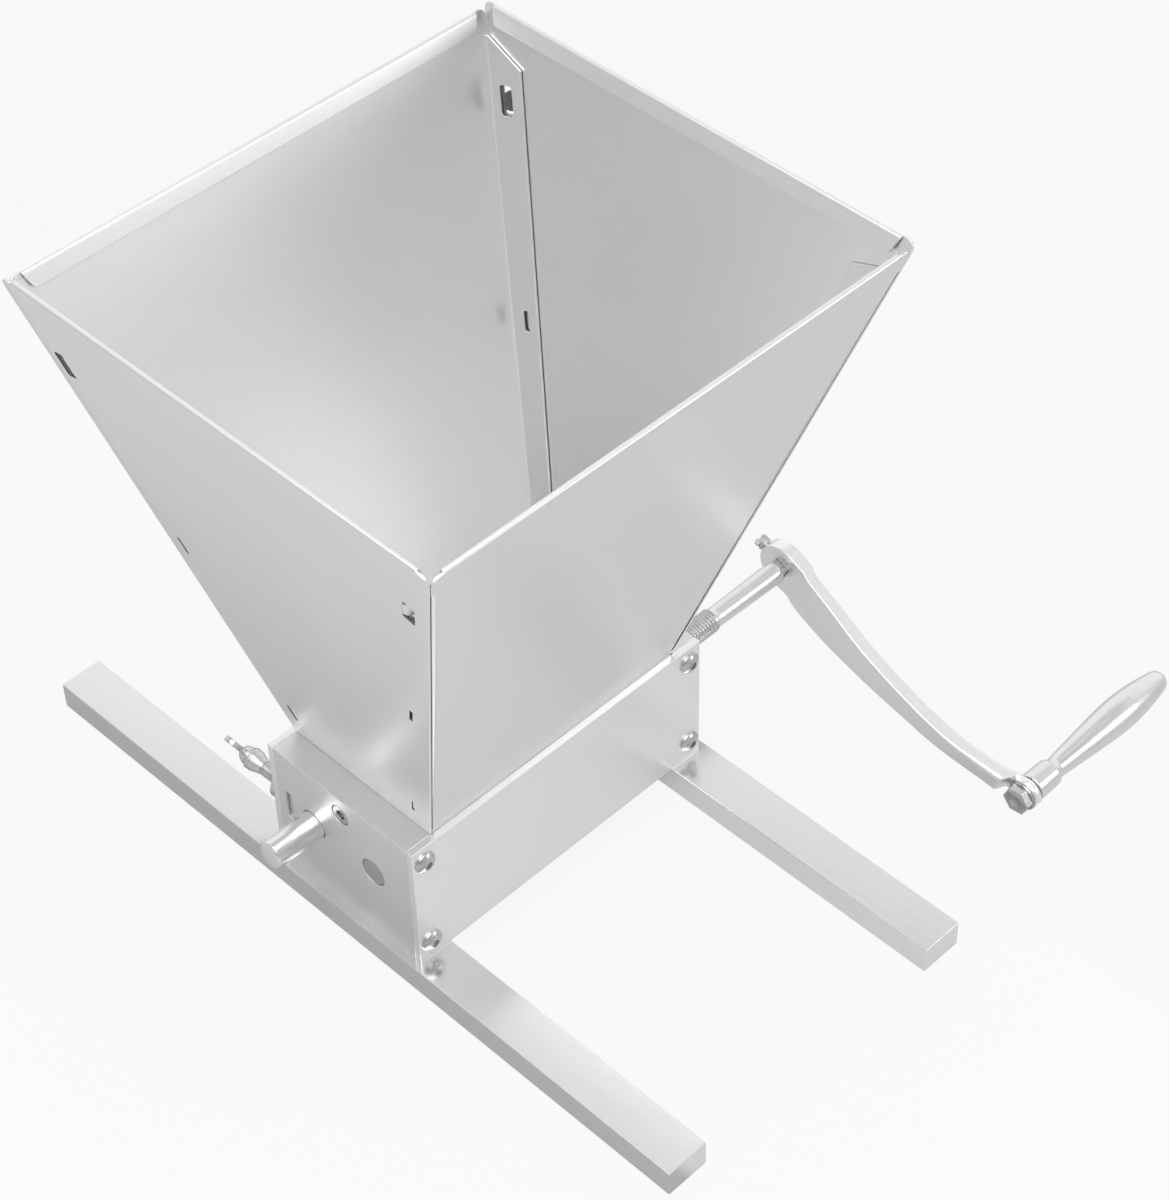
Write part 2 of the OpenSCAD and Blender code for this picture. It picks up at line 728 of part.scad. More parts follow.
module hopper_nut_set() {
    color([0.5, 0.5, 0.52]) for (side = [-1, 1]) on_side(side)
        facing_x(plate_inner_x - sheet_thickness - hopper_nut_thickness, 0, body_top - hopper_screw_drop)
            difference() {
                hexagon(hopper_nut_across, hopper_nut_thickness);
                translate([0, 0, -cut])
                    cylinder(d = cover_thread + 2 * seat_clearance, h = hopper_nut_thickness + 2 * cut);
            }
}

// Roller barrel with straight flutes
module fluted_barrel() {
    facing_x(-roller_end_x, 0, 0) linear_extrude(2 * roller_end_x) difference() {
        circle(r = roller_radius, $fn = 96);
        for (flute = [0 : flute_count - 1])
            rotate(flute * 360 / flute_count) translate([roller_radius, 0])
                rotate(45) square(flute_depth * sqrt(2), center = true);
    }
}

module drive_roller() {
    journal_end_x = plate_outer_x - journal_inset;
    color([0.68, 0.68, 0.7]) translate([0, drive_y, drive_z]) difference() {
        union() {
            fluted_barrel();
            facing_x(-journal_end_x, 0, 0) cylinder(d = journal_diameter, h = 2 * journal_end_x);
        }
        facing_x(spindle_inner_x - end_clearance, 0, 0)
            cylinder(d = spindle_core + 2 * seat_clearance, h = spindle_depth + cut);
    }
}

module idler_roller() {
    depth = idler_bush_length + end_clearance;
    color([0.68, 0.68, 0.7]) translate([0, idler_y, idler_z]) difference() {
        fluted_barrel();
        for (side = [-1, 1]) on_side(side)
            facing_x(roller_end_x - depth, 0, 0)
                cylinder(d = idler_bush_diameter + 2 * seat_clearance, h = depth + cut);
    }
}

module drive_bush(side) {
    color([0.75, 0.6, 0.35]) on_side(side) facing_x(plate_inner_x, drive_y, drive_z)
        ring(drive_bush_diameter, journal_diameter + 2 * running_clearance, drive_bush_length);
}

module idler_bush(side) {
    color([0.75, 0.6, 0.35]) on_side(side) facing_x(roller_end_x - idler_bush_length, idler_y, idler_z)
        ring(idler_bush_diameter, offset_pin_diameter + 2 * running_clearance, idler_bush_length);
}

// Knob, journal and offset pin in one turned piece
module adjuster(side) {
    pin_start_x = roller_end_x - idler_bush_length + end_clearance;
    color([0.7, 0.7, 0.71]) on_side(side) {
        facing_x(plate_inner_x, adjuster_y, adjuster_z) {
            length = end_plate_thickness + knob_reach;
            radius = adjuster_diameter / 2;
            cylinder(r = radius, h = length - turned_chamfer);
            translate([0, 0, length - turned_chamfer])
                cylinder(r1 = radius, r2 = radius - turned_chamfer, h = turned_chamfer);
        }
        facing_x(pin_start_x, idler_y, idler_z)
            cylinder(d = offset_pin_diameter, h = plate_inner_x - pin_start_x + cut);
    }
}

// Threaded spindle that joins the crank to the driven roller
module crank_spindle() {
    thread_start = plate_outer_x - spindle_inner_x;
    thread_end = thread_start + spindle_thread_reach;
    shoulder = shoulder_x - spindle_inner_x;
    color([0.6, 0.6, 0.62]) on_crank() {
        facing_x(spindle_inner_x, 0, 0) rotate_extrude() polygon(concat(
            [[0, 0], [spindle_core / 2, 0]],
            [[spindle_core / 2, thread_start]],
            ridge_points(
                thread_start + spindle_groove, thread_end, spindle_thread / 2, spindle_core / 2,
                spindle_pitch
            ),
            [
                [spindle_thread / 2, thread_end - spindle_groove / 2],
                [shaft_root_diameter / 2, thread_end],
                [shaft_shoulder_diameter / 2, shoulder - turned_chamfer / 2],
                [shaft_shoulder_diameter / 2 - turned_chamfer / 2, shoulder], [0, shoulder]
            ]
        ));
        block(
            [shoulder_x - cut, -tang_size / 2, -tang_size / 2],
            [hub_outer_x - tang_setback, tang_size / 2, tang_size / 2]
        );
    }
}

// Inner face of the arm at a share of its radius
function arm_inner_x(share) = hub_inner_x + arm_sweep * eased(arm_sweep_shares, share, arm_blur_share);

// Arm from the hub down to the eye, before its holes
module arm_blade() {
    hub_radius = hub_diameter / 2;
    up = [for (step = [0 : arm_stations]) step / arm_stations];
    down = [for (step = [arm_stations : -1 : 0]) step / arm_stations];
    intersection() {
        linear_extrude(hub_diameter, center = true) polygon(concat(
            [for (share = up) [arm_inner_x(share), -share * crank_radius]],
            [
                for (share = down) [
                    arm_inner_x(share)
                        + arm_thickness * eased(arm_thickness_shares, share, arm_blur_share),
                    -share * crank_radius
                ]
            ]
        ));
        translate([hub_inner_x - hub_diameter, 0, 0]) rotate([90, 0, 90])
            linear_extrude(3 * hub_diameter) polygon([
                for (half = [-hub_radius, hub_radius], share = half < 0 ? up : down)
                    [-share * crank_radius, half * eased(arm_width_shares, share, arm_blur_share)]
            ]);
    }
}

module crank_arm() {
    hole = tang_size / 2 + tang_clearance;
    color([0.66, 0.66, 0.68]) on_crank() difference() {
        union() {
            arm_blade();
            facing_x(hub_inner_x, 0, 0) cylinder(d = hub_diameter, h = hub_thickness);
            facing_x(eye_start_x, -crank_radius, 0) cylinder(d = eye_diameter, h = eye_length);
        }
        block([hub_inner_x - hub_thickness, -hole, -hole], [hub_outer_x + cut, hole, hole]);
        facing_x(eye_start_x - spotface_depth, -crank_radius, 0) {
            cylinder(d = spotface_diameter, h = spotface_depth);
            cylinder(d = bolt_thread + 2 * running_clearance, h = spotface_depth + eye_length + cut);
        }
        facing_y(hub_inner_x + hub_thickness / 2, 0, 0)
            cylinder(d = crank_lock_thread + 2 * running_clearance, h = hub_diameter);
    }
}

module crank_lock_screw() {
    collar_y = hub_diameter / 2 + crank_lock_stand;
    tip_y = tang_size / 2 + crank_lock_tip_gap;
    color([0.5, 0.5, 0.52]) on_crank() facing_y(hub_inner_x + hub_thickness / 2, collar_y, 0) wing_screw(
        crank_lock_thread, collar_y - tip_y, crank_lock_neck, crank_lock_collar, crank_lock_collar_height,
        crank_lock_hub_height, crank_lock_span, crank_lock_wing_height, crank_lock_lobe_radius,
        crank_lock_blade
    );
}

module handle_bolt() {
    color([0.6, 0.6, 0.62]) on_crank() translate([0, -crank_radius, 0]) {
        facing_x(bolt_start_x, 0, 0) hexagon(bolt_head_across, bolt_head_height);
        facing_x(bolt_start_x + bolt_head_height - bolt_flange_height, 0, 0)
            cylinder(d = bolt_flange_diameter, h = bolt_flange_height);
        facing_x(bolt_start_x + bolt_head_height / 2, 0, 0)
            cylinder(d = bolt_thread, h = grip_start_x + bolt_bite - bolt_start_x - bolt_head_height / 2);
    }
}

module grip() {
    collar_radius = grip_collar_diameter / 2;
    collar_end = grip_length * grip_collar_share;
    collar_head = collar_radius - grip_collar_taper;
    color([0.72, 0.7, 0.68]) on_crank() facing_x(grip_start_x, -crank_radius, 0) difference() {
        rotate_extrude() polygon(concat(
            [
                [0, 0], [collar_radius - turned_chamfer / 2, 0], [collar_radius, turned_chamfer / 2],
                [collar_head, collar_end - turned_chamfer], [collar_head - turned_chamfer, collar_end]
            ],
            [for (pair = grip_radius_shares) [pair[1] * grip_diameter / 2, pair[0] * grip_length]],
            [[0, grip_length]]
        ));
        translate([0, 0, -cut])
            cylinder(d = bolt_thread + 2 * seat_clearance, h = bolt_bite + end_clearance + cut);
    }
}

bar(-1);  // left_bar
bar(1);  // right_bar
end_plate(-1);  // left_end_plate
end_plate(1);  // right_end_plate
cover(-1);  // front_cover
cover(1);  // back_cover
hopper_side_panel(-1);  // hopper_left_panel
hopper_side_panel(1);  // hopper_right_panel
hopper_cross_panel(-1);  // hopper_front_panel
hopper_cross_panel(1);  // hopper_back_panel
drive_roller();
idler_roller();
drive_bush(-1);  // left_drive_bush
drive_bush(1);  // right_drive_bush
idler_bush(-1);  // left_idler_bush
idler_bush(1);  // right_idler_bush
adjuster(-1);  // left_adjuster
adjuster(1);  // right_adjuster
lock_screw(-1);  // left_lock_screw
lock_screw(1);  // right_lock_screw
lock_nut(-1);  // left_lock_nut
lock_nut(1);  // right_lock_nut
lock_bush(-1);  // left_lock_bush
lock_bush(1);  // right_lock_bush
cover_screw_set(-1);  // front_cover_screws
cover_screw_set(1);  // back_cover_screws
bar_screw_set();  // bar_screws
hopper_screw_set();  // hopper_screws
hopper_nut_set();  // hopper_nuts
crank_spindle();
crank_arm();
crank_lock_screw();
handle_bolt();
grip();
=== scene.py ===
"""Looks of the hand cranked malt mill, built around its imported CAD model."""

import logging
import math
from dataclasses import dataclass, field
from enum import Enum
from typing import Callable, Iterable, Sequence

import bmesh
import bpy
from mathutils import Matrix, Vector


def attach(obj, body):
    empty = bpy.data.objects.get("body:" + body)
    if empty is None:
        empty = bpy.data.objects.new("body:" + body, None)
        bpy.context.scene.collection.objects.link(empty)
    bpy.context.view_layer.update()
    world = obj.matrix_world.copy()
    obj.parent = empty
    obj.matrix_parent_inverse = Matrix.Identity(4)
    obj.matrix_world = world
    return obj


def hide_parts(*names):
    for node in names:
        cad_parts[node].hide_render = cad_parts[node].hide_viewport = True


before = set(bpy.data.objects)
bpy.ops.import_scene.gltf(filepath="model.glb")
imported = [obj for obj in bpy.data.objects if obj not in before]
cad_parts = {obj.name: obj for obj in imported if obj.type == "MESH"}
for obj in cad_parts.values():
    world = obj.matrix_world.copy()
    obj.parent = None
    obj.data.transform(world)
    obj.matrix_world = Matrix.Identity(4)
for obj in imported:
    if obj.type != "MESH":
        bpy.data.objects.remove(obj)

# One millimetre in metres, then distances in millimetres at which points merge, or at which a cut takes them.
MM = 0.001
WELD = 0.0005
THREAD_WELD = 0.001
COARSE_WELD = 0.002
CUT_REACH = 0.0001
LOG = logging.getLogger("malt_mill")
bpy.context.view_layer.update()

Point2 = tuple[float, float]
Point3 = tuple[float, float, float]
Colour = tuple[float, float, float]


class Side(Enum):
    """The two ends of the mill along the rollers."""

    LEFT = -1
    RIGHT = 1


class Face(Enum):
    """The front and the back of the mill."""

    FRONT = -1
    BACK = 1


class Grain(Enum):
    """The way in which a finish is brushed, as noise scales along X, Y and Z per metre."""

    ALONG_X = (14.0, 900.0, 900.0)
    ALONG_Y = (900.0, 10.0, 900.0)
    SATIN = (420.0, 420.0, 420.0)


class Slot(Enum):
    """Material slots of the record."""

    PLATE = "plate_aluminium"
    HOPPER = "hopper_steel"
    ROLLER = "roller_steel"
    BUSH = "bush_bronze"
    TURNED = "turned_steel"
    FORGED = "forged_steel"
    WING = "wing_steel"
    SCREW = "screw_steel"


class PaintedShade(Enum):
    """Material indices of the faces of a hopper sheet's outer side, which set where the dark painted shade
    goes.
    """

    SEAM = 1
    CUT = 2
    TONGUE = 4


# Finishes


@dataclass(frozen=True)
class MetalFinish:
    """A brushed, satin or turned metal with its grain, clouding, roughness and fine relief."""

    name: str
    light: Colour
    dark: Colour
    grain: Grain
    rough: Point2
    cloud_scale: float
    cloud_share: float
    relief: float
    streak_detail: float = 3.0
    streak_roughness: float = 0.6
    cloud_detail: float = 2.0
    tone_span: Point2 = (0.32, 0.68)
    rough_span: Point2 = (0.3, 0.7)
    relief_depth: float = 0.00005

    def material(self) -> bpy.types.Material:
        """Returns the finish's material, made once and then shared.

        Returns:
            The node material with this finish's name.
        """
        known = bpy.data.materials.get(self.name)
        if known:
            return known
        made = bpy.data.materials.new(self.name)
        made.use_nodes = True
        self._wire(made.node_tree)
        return made

    def _wire(self, tree: bpy.types.NodeTree) -> None:
        """Fills the node tree of the finish.

        Args:
            tree: The tree of a new material.
        """
        nodes, links = tree.nodes, tree.links
        shader = nodes["Principled BSDF"]
        shader.inputs["Metallic"].default_value = 1.0
        place = nodes.new("ShaderNodeTexCoord")
        brushed = nodes.new("ShaderNodeMapping")
        brushed.inputs["Scale"].default_value = self.grain.value
        links.new(place.outputs["Object"], brushed.inputs["Vector"])
        streaks = nodes.new("ShaderNodeTexNoise")
        streaks.inputs["Scale"].default_value = 1.0
        streaks.inputs["Detail"].default_value = self.streak_detail
        streaks.inputs["Roughness"].default_value = self.streak_roughness
        links.new(brushed.outputs["Vector"], streaks.inputs["Vector"])
        clouds = nodes.new("ShaderNodeTexNoise")
        clouds.inputs["Scale"].default_value = self.cloud_scale
        clouds.inputs["Detail"].default_value = self.cloud_detail
        links.new(place.outputs["Object"], clouds.inputs["Vector"])
        blend = nodes.new("ShaderNodeMix")
        blend.inputs["Factor"].default_value = self.cloud_share
        links.new(streaks.outputs["Fac"], blend.inputs["A"])
        links.new(clouds.outputs["Fac"], blend.inputs["B"])
        tone = nodes.new("ShaderNodeValToRGB")
        for stop, at, colour in zip(tone.color_ramp.elements, self.tone_span, (self.dark, self.light)):
            stop.position = at
            stop.color = (*colour, 1.0)
        links.new(blend.outputs["Result"], tone.inputs["Fac"])
        links.new(tone.outputs["Color"], shader.inputs["Base Color"])
        rough = nodes.new("ShaderNodeMapRange")
        rough.inputs["From Min"].default_value, rough.inputs["From Max"].default_value = self.rough_span
        rough.inputs["To Min"].default_value, rough.inputs["To Max"].default_value = self.rough
        links.new(blend.outputs["Result"], rough.inputs["Value"])
        links.new(rough.outputs["Result"], shader.inputs["Roughness"])
        relief = nodes.new("ShaderNodeBump")
        relief.inputs["Strength"].default_value = self.relief
        relief.inputs["Distance"].default_value = self.relief_depth
        links.new(streaks.outputs["Fac"], relief.inputs["Height"])
        links.new(relief.outputs["Normal"], shader.inputs["Normal"])


GROUND_PLATE = MetalFinish(
    "ground_plate", light=(0.86, 0.86, 0.865), dark=(0.8, 0.8, 0.805), grain=Grain.ALONG_Y,
    rough=(0.18, 0.26), cloud_scale=9.0, cloud_share=0.55, relief=0.1)
COVER_PLATE = MetalFinish(
    "cover_plate", light=(0.95, 0.95, 0.955), dark=(0.92, 0.92, 0.925), grain=Grain.ALONG_X,
    rough=(0.3, 0.4), cloud_scale=9.0, cloud_share=0.55, relief=0.1)
END_PLATE = MetalFinish(
    "end_plate_grey", light=(0.82, 0.82, 0.825), dark=(0.76, 0.76, 0.765), grain=Grain.SATIN,
    rough=(0.36, 0.46), cloud_scale=16.0, cloud_share=0.5, relief=0.08)
SATIN_SHEET = MetalFinish(
    "satin_sheet", light=(0.86, 0.86, 0.86), dark=(0.835, 0.835, 0.835), grain=Grain.SATIN,
    rough=(0.32, 0.38), cloud_scale=7.0, cloud_share=0.65, relief=0.012)
# A near black steel, painted where there is only shade: on the corner bends' outer side, the walls of cuts,
# and the tongues' walls and inner side.
SEAM_PAINTED_SHADE = MetalFinish(
    "painted_seam_shade", light=(0.2, 0.2, 0.2), dark=(0.1, 0.1, 0.1), grain=Grain.SATIN,
    rough=(0.45, 0.6), cloud_scale=40.0, cloud_share=0.5, relief=0.05)
ROLLER_FACE = MetalFinish(
    "roller_face", light=(0.58, 0.58, 0.59), dark=(0.4, 0.4, 0.41), grain=Grain.ALONG_X,
    rough=(0.28, 0.42), cloud_scale=30.0, cloud_share=0.3, relief=0.2)
SINTERED = MetalFinish(
    "sintered_bronze", light=(0.72, 0.54, 0.3), dark=(0.52, 0.36, 0.18), grain=Grain.SATIN,
    rough=(0.38, 0.55), cloud_scale=60.0, cloud_share=0.3, relief=0.3)
TURNED_BAR = MetalFinish(
    "turned_bar", light=(0.86, 0.855, 0.85), dark=(0.78, 0.775, 0.765), grain=Grain.ALONG_X,
    rough=(0.24, 0.29), cloud_scale=40.0, cloud_share=0.2, relief=0.06)
# A lighter, smoother copy of the turned steel; its extra lightness is painted light on the knobs.
TURNED_KNOB_PAINTED_LIGHT = MetalFinish(
    "turned_knob_painted_light", light=(0.88, 0.875, 0.87), dark=(0.8, 0.795, 0.785), grain=Grain.ALONG_X,
    rough=(0.22, 0.27), cloud_scale=40.0, cloud_share=0.2, relief=0.06)
THREAD_STEEL = MetalFinish(
    "thread_steel", light=(0.72, 0.72, 0.72), dark=(0.55, 0.55, 0.55), grain=Grain.SATIN,
    rough=(0.24, 0.36), cloud_scale=60.0, cloud_share=0.3, relief=0.1)
TANG_STEEL = MetalFinish(
    "tang_steel", light=(0.5, 0.49, 0.48), dark=(0.34, 0.33, 0.33), grain=Grain.ALONG_X,
    rough=(0.26, 0.4), cloud_scale=60.0, cloud_share=0.3, relief=0.12)
FORGED_ARM = MetalFinish(
    "forged_arm", light=(0.95, 0.95, 0.95), dark=(0.91, 0.91, 0.91), grain=Grain.SATIN,
    rough=(0.3, 0.36), cloud_scale=20.0, cloud_share=0.5, relief=0.03)
BRIGHT_WING = MetalFinish(
    "bright_wing", light=(0.72, 0.72, 0.72), dark=(0.55, 0.55, 0.55), grain=Grain.SATIN,
    rough=(0.2, 0.34), cloud_scale=60.0, cloud_share=0.4, relief=0.15)
PLAIN_SCREW = MetalFinish(
    "plain_screw", light=(0.66, 0.66, 0.66), dark=(0.48, 0.48, 0.48), grain=Grain.SATIN,
    rough=(0.2, 0.32), cloud_scale=70.0, cloud_share=0.4, relief=0.12)


# Bench


@dataclass(frozen=True)
class Seat:
    """Where a piece belongs: its body, its material slot and the CAD nodes that it stands for."""

    body: str
    slot: Slot
    nodes: tuple[str, ...] = ()


@dataclass(frozen=True)
class Softening:
    """Rounding of a piece's edges, in millimetres and degrees."""

    width: float = 0.3
    segments: int = 2
    above: float = 35.0
    profile: float = 0.5
    face_weight: int = 90

    def apply(self, piece: bpy.types.Object) -> None:
        """Adds the rounding and the weighted normals that keep flat faces flat.

        Args:
            piece: The mesh object to finish.
        """
        if self.width > 0:
            edge = piece.modifiers.new("soft_edges", "BEVEL")
            edge.width = self.width * MM
            edge.segments = self.segments
            edge.limit_method = "ANGLE"
            edge.angle_limit = math.radians(self.above)
            edge.use_clamp_overlap = False
            edge.profile = self.profile
        even = piece.modifiers.new("flat_faces", "WEIGHTED_NORMAL")
        even.mode = "FACE_AREA_WITH_ANGLE"
        even.weight = self.face_weight
        even.keep_sharp = True


def along_x(x: float, y: float, z: float) -> Matrix:
    """Returns the placing that turns local Z to +X at a point in millimetres."""
    return Matrix.Translation((x, y, z)) @ Matrix.Rotation(math.radians(90), 4, "Y")


def along_y(x: float, y: float, z: float) -> Matrix:
    """Returns the placing that turns local Z to +Y at a point in millimetres."""
    return Matrix.Translation((x, y, z)) @ Matrix.Rotation(math.radians(-90), 4, "X")


def mirrored(side: Side) -> Matrix:
    """Returns the mirror in X for the left side, and nothing for the right one."""
    return Matrix.Scale(side.value, 4, (1, 0, 0))


def settle(bm: bmesh.types.BMesh, place: Matrix) -> None:
    """Merges a closed shape's doubles, moves it to its place and turns its faces outwards.

    Args:
        bm: A closed shape in millimetres.
        place: Its placing in the frame, in millimetres.
    """
    bmesh.ops.remove_doubles(bm, verts=bm.verts, dist=WELD)
    bmesh.ops.transform(bm, matrix=place, verts=bm.verts)
    bmesh.ops.recalc_face_normals(bm, faces=bm.faces)


def finished(
    name: str, bm: bmesh.types.BMesh, finish: MetalFinish, seat: Seat, softening: Softening,
    others: Sequence[MetalFinish] = ()
) -> bpy.types.Object:
    """Makes a piece from a shape in millimetres and seats it in the frame.

    Args:
        name: The piece's name.
        bm: Its shape, which is freed.
        finish: Its finish.
        seat: Its body, slot and CAD nodes.
        softening: The rounding of its edges.
        others: Finishes of the faces whose material index is 1 and up.

    Returns:
        The finished object.
    """
    bmesh.ops.transform(bm, matrix=Matrix.Scale(MM, 4), verts=bm.verts)
    for face in bm.faces:
        face.smooth = True
    mesh = bpy.data.meshes.new(name)
    bm.to_mesh(mesh)
    bm.free()
    for each in (finish, *others):
        mesh.materials.append(each.material())
    piece = bpy.data.objects.new(name, mesh)
    bpy.context.scene.collection.objects.link(piece)
    softening.apply(piece)
    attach(piece, seat.body)
    if seat.nodes:
        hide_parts(*seat.nodes)
    LOG.info("built %s on %s", name, seat.body)
    return piece


def turned(bm: bmesh.types.BMesh, profile: Sequence[Point2], steps: int = 72) -> None:
    """Spins a profile of (height, radius) points round the local Z axis.

    Args:
        bm: The shape to add to.
        profile: Points from one end to the other, in millimetres.
        steps: Facets round the axis.
    """
    verts = [bm.verts.new((radius, 0.0, height)) for height, radius in profile]
    edges = [bm.edges.new(pair) for pair in zip(verts, verts[1:])]
    bmesh.ops.spin(
        bm, geom=verts + edges, cent=(0, 0, 0), axis=(0, 0, 1), dvec=(0, 0, 0),
        angle=math.tau, steps=steps, use_merge=True, use_duplicate=False)


def threaded(
    bm: bmesh.types.BMesh, start: float, end: float, outer: float, core: float, pitch: float,
    steps: int = 32
) -> None:
    """Winds a right handed thread along local Z and cuts both its ends square.

    Args:
        bm: An empty shape to fill.
        start: Height of the thread's first face.
        end: Height of its last face.
        outer: Radius over the crests.
        core: Radius in the roots.
        pitch: Rise per turn.
        steps: Facets per turn.
    """
    turns = math.ceil((end - start) / pitch) + 2
    shares = ((0.0, core), (0.36, outer), (0.56, outer), (0.92, core), (1.0, core))
    verts = [bm.verts.new((radius, 0.0, start - pitch + share * pitch)) for share, radius in shares]
    edges = [bm.edges.new(pair) for pair in zip(verts, verts[1:])]
    bmesh.ops.spin(
        bm, geom=verts + edges, cent=(0, 0, 0), axis=(0, 0, 1), dvec=(0, 0, pitch / steps),
        angle=math.tau * turns, steps=steps * turns, use_duplicate=False)
    bmesh.ops.remove_doubles(bm, verts=bm.verts, dist=THREAD_WELD)
    for height, low in ((start, True), (end, False)):
        bmesh.ops.bisect_plane(
            bm, geom=bm.verts[:] + bm.edges[:] + bm.faces[:], dist=CUT_REACH, plane_co=(0, 0, height),
            plane_no=(0, 0, 1), clear_inner=low, clear_outer=not low)
    bmesh.ops.holes_fill(bm, edges=[edge for edge in bm.edges if edge.is_boundary], sides=0)


def looped(bm: bmesh.types.BMesh, points: Iterable[Sequence[float]]) -> tuple[list, list]:
    """Adds one closed loop of vertices and edges.

    Args:
        bm: The shape to add to.
        points: The loop's points, with two or three numbers each.

    Returns:
        The vertices and the edges of the loop.
    """
    verts = [bm.verts.new((point[0], point[1], point[2] if len(point) > 2 else 0.0)) for point in points]
    edges = [bm.edges.new((verts[at], verts[(at + 1) % len(verts)])) for at in range(len(verts))]
    return verts, edges


def filled(bm: bmesh.types.BMesh, loops: Sequence[Sequence[Point2]]) -> list[bmesh.types.BMVert]:
    """Fills a flat outline, less the holes given after it.

    Args:
        bm: The shape to add to.
        loops: The outline, then its holes, as loops of flat points.

    Returns:
        All the new vertices, those of the outline first.
    """
    verts: list[bmesh.types.BMVert] = []
    edges: list[bmesh.types.BMEdge] = []
    for loop in loops:
        new_verts, new_edges = looped(bm, loop)
        verts += new_verts
        edges += new_edges
    bmesh.ops.triangle_fill(bm, use_beauty=True, use_dissolve=False, edges=edges, normal=(0, 0, 1))
    return verts


def bridged(bm: bmesh.types.BMesh, rings: Sequence[Sequence[Sequence[float]]]) -> None:
    """Bridges rings of points one after the other and closes both ends.

    Args:
        bm: The shape to add to.
        rings: Closed rings with the same number of points.
    """
    edges = [looped(bm, ring)[1] for ring in rings]
    for near, far in zip(edges, edges[1:]):
        bmesh.ops.bridge_loops(bm, edges=near + far)
    bmesh.ops.holes_fill(bm, edges=edges[0] + edges[-1], sides=0)


def arc(centre: Point2, radius: float, start: float, end: float, steps: int) -> list[Point2]:
    """Returns points on an arc.

    Args:
        centre: The arc's centre.
        radius: Its radius.
        start: Its first angle in degrees.
        end: Its last angle in degrees.
        steps: Parts that it is divided into.

    Returns:
        The points, both ends among them.
    """
    angles = [math.radians(start + (end - start) * step / steps) for step in range(steps + 1)]
    return [(centre[0] + radius * math.cos(a), centre[1] + radius * math.sin(a)) for a in angles]


def carved(piece: bpy.types.Object, cutters: Sequence[Callable[[bmesh.types.BMesh], None]]) -> None:
    """Cuts closed shapes out of a piece and keeps the result in its mesh.

    Args:
        piece: The object to cut, before it has modifiers.
        cutters: Functions that each fill a shape with one closed cutter, in millimetres.
    """
    for shape_cutter in cutters:
        bm = bmesh.new()
        shape_cutter(bm)
        bmesh.ops.remove_doubles(bm, verts=bm.verts, dist=WELD)
        bmesh.ops.recalc_face_normals(bm, faces=bm.faces)
        bmesh.ops.transform(bm, matrix=Matrix.Scale(MM, 4), verts=bm.verts)
        mesh = bpy.data.meshes.new("cutter")
        bm.to_mesh(mesh)
        bm.free()
        cutter = bpy.data.objects.new("cutter", mesh)
        bpy.context.scene.collection.objects.link(cutter)
        cut = piece.modifiers.new("cut", "BOOLEAN")
        cut.operation = "DIFFERENCE"
        cut.solver = "EXACT"
        cut.object = cutter
        graph = bpy.context.evaluated_depsgraph_get()
        result = bpy.data.meshes.new_from_object(piece.evaluated_get(graph))
        result.name = piece.name
        piece.modifiers.clear()
        old = piece.data
        piece.data = result
        bpy.data.meshes.remove(old)
        bpy.data.objects.remove(cutter)
        bpy.data.meshes.remove(mesh)


# Plain pieces


@dataclass
class EasedCopies:
    """CAD nodes whose shape is right, with their sharp edges just broken."""

    finish: MetalFinish
    slot: Slot
    nodes: tuple[str, ...]
    softening: Softening
    body: str = "frame"
    flat_angle: float = 0.5

    def build(self) -> list[bpy.types.Object]:
        """Builds one eased copy of each node.

        Returns:
            The finished pieces.
        """
        return [self._copy(node) for node in self.nodes]

    def _copy(self, node: str) -> bpy.types.Object:
        """Copies one node's mesh, merges it and hands it to the bench.

        Args:
            node: The CAD node.

        Returns:
            The finished piece.
        """
        bm = bmesh.new()
        bm.from_mesh(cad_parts[node].data)
        bmesh.ops.remove_doubles(bm, verts=bm.verts, dist=COARSE_WELD * MM)
        bmesh.ops.dissolve_limit(
            bm, angle_limit=math.radians(self.flat_angle), use_dissolve_boundaries=False, verts=bm.verts,
            edges=bm.edges)
        for face in bm.faces:
            face.material_index = 0
        bmesh.ops.transform(bm, matrix=Matrix.Scale(1 / MM, 4), verts=bm.verts)
        return finished(f"eased_{node}", bm, self.finish, Seat(self.body, self.slot, (node,)), self.softening)


# Hopper


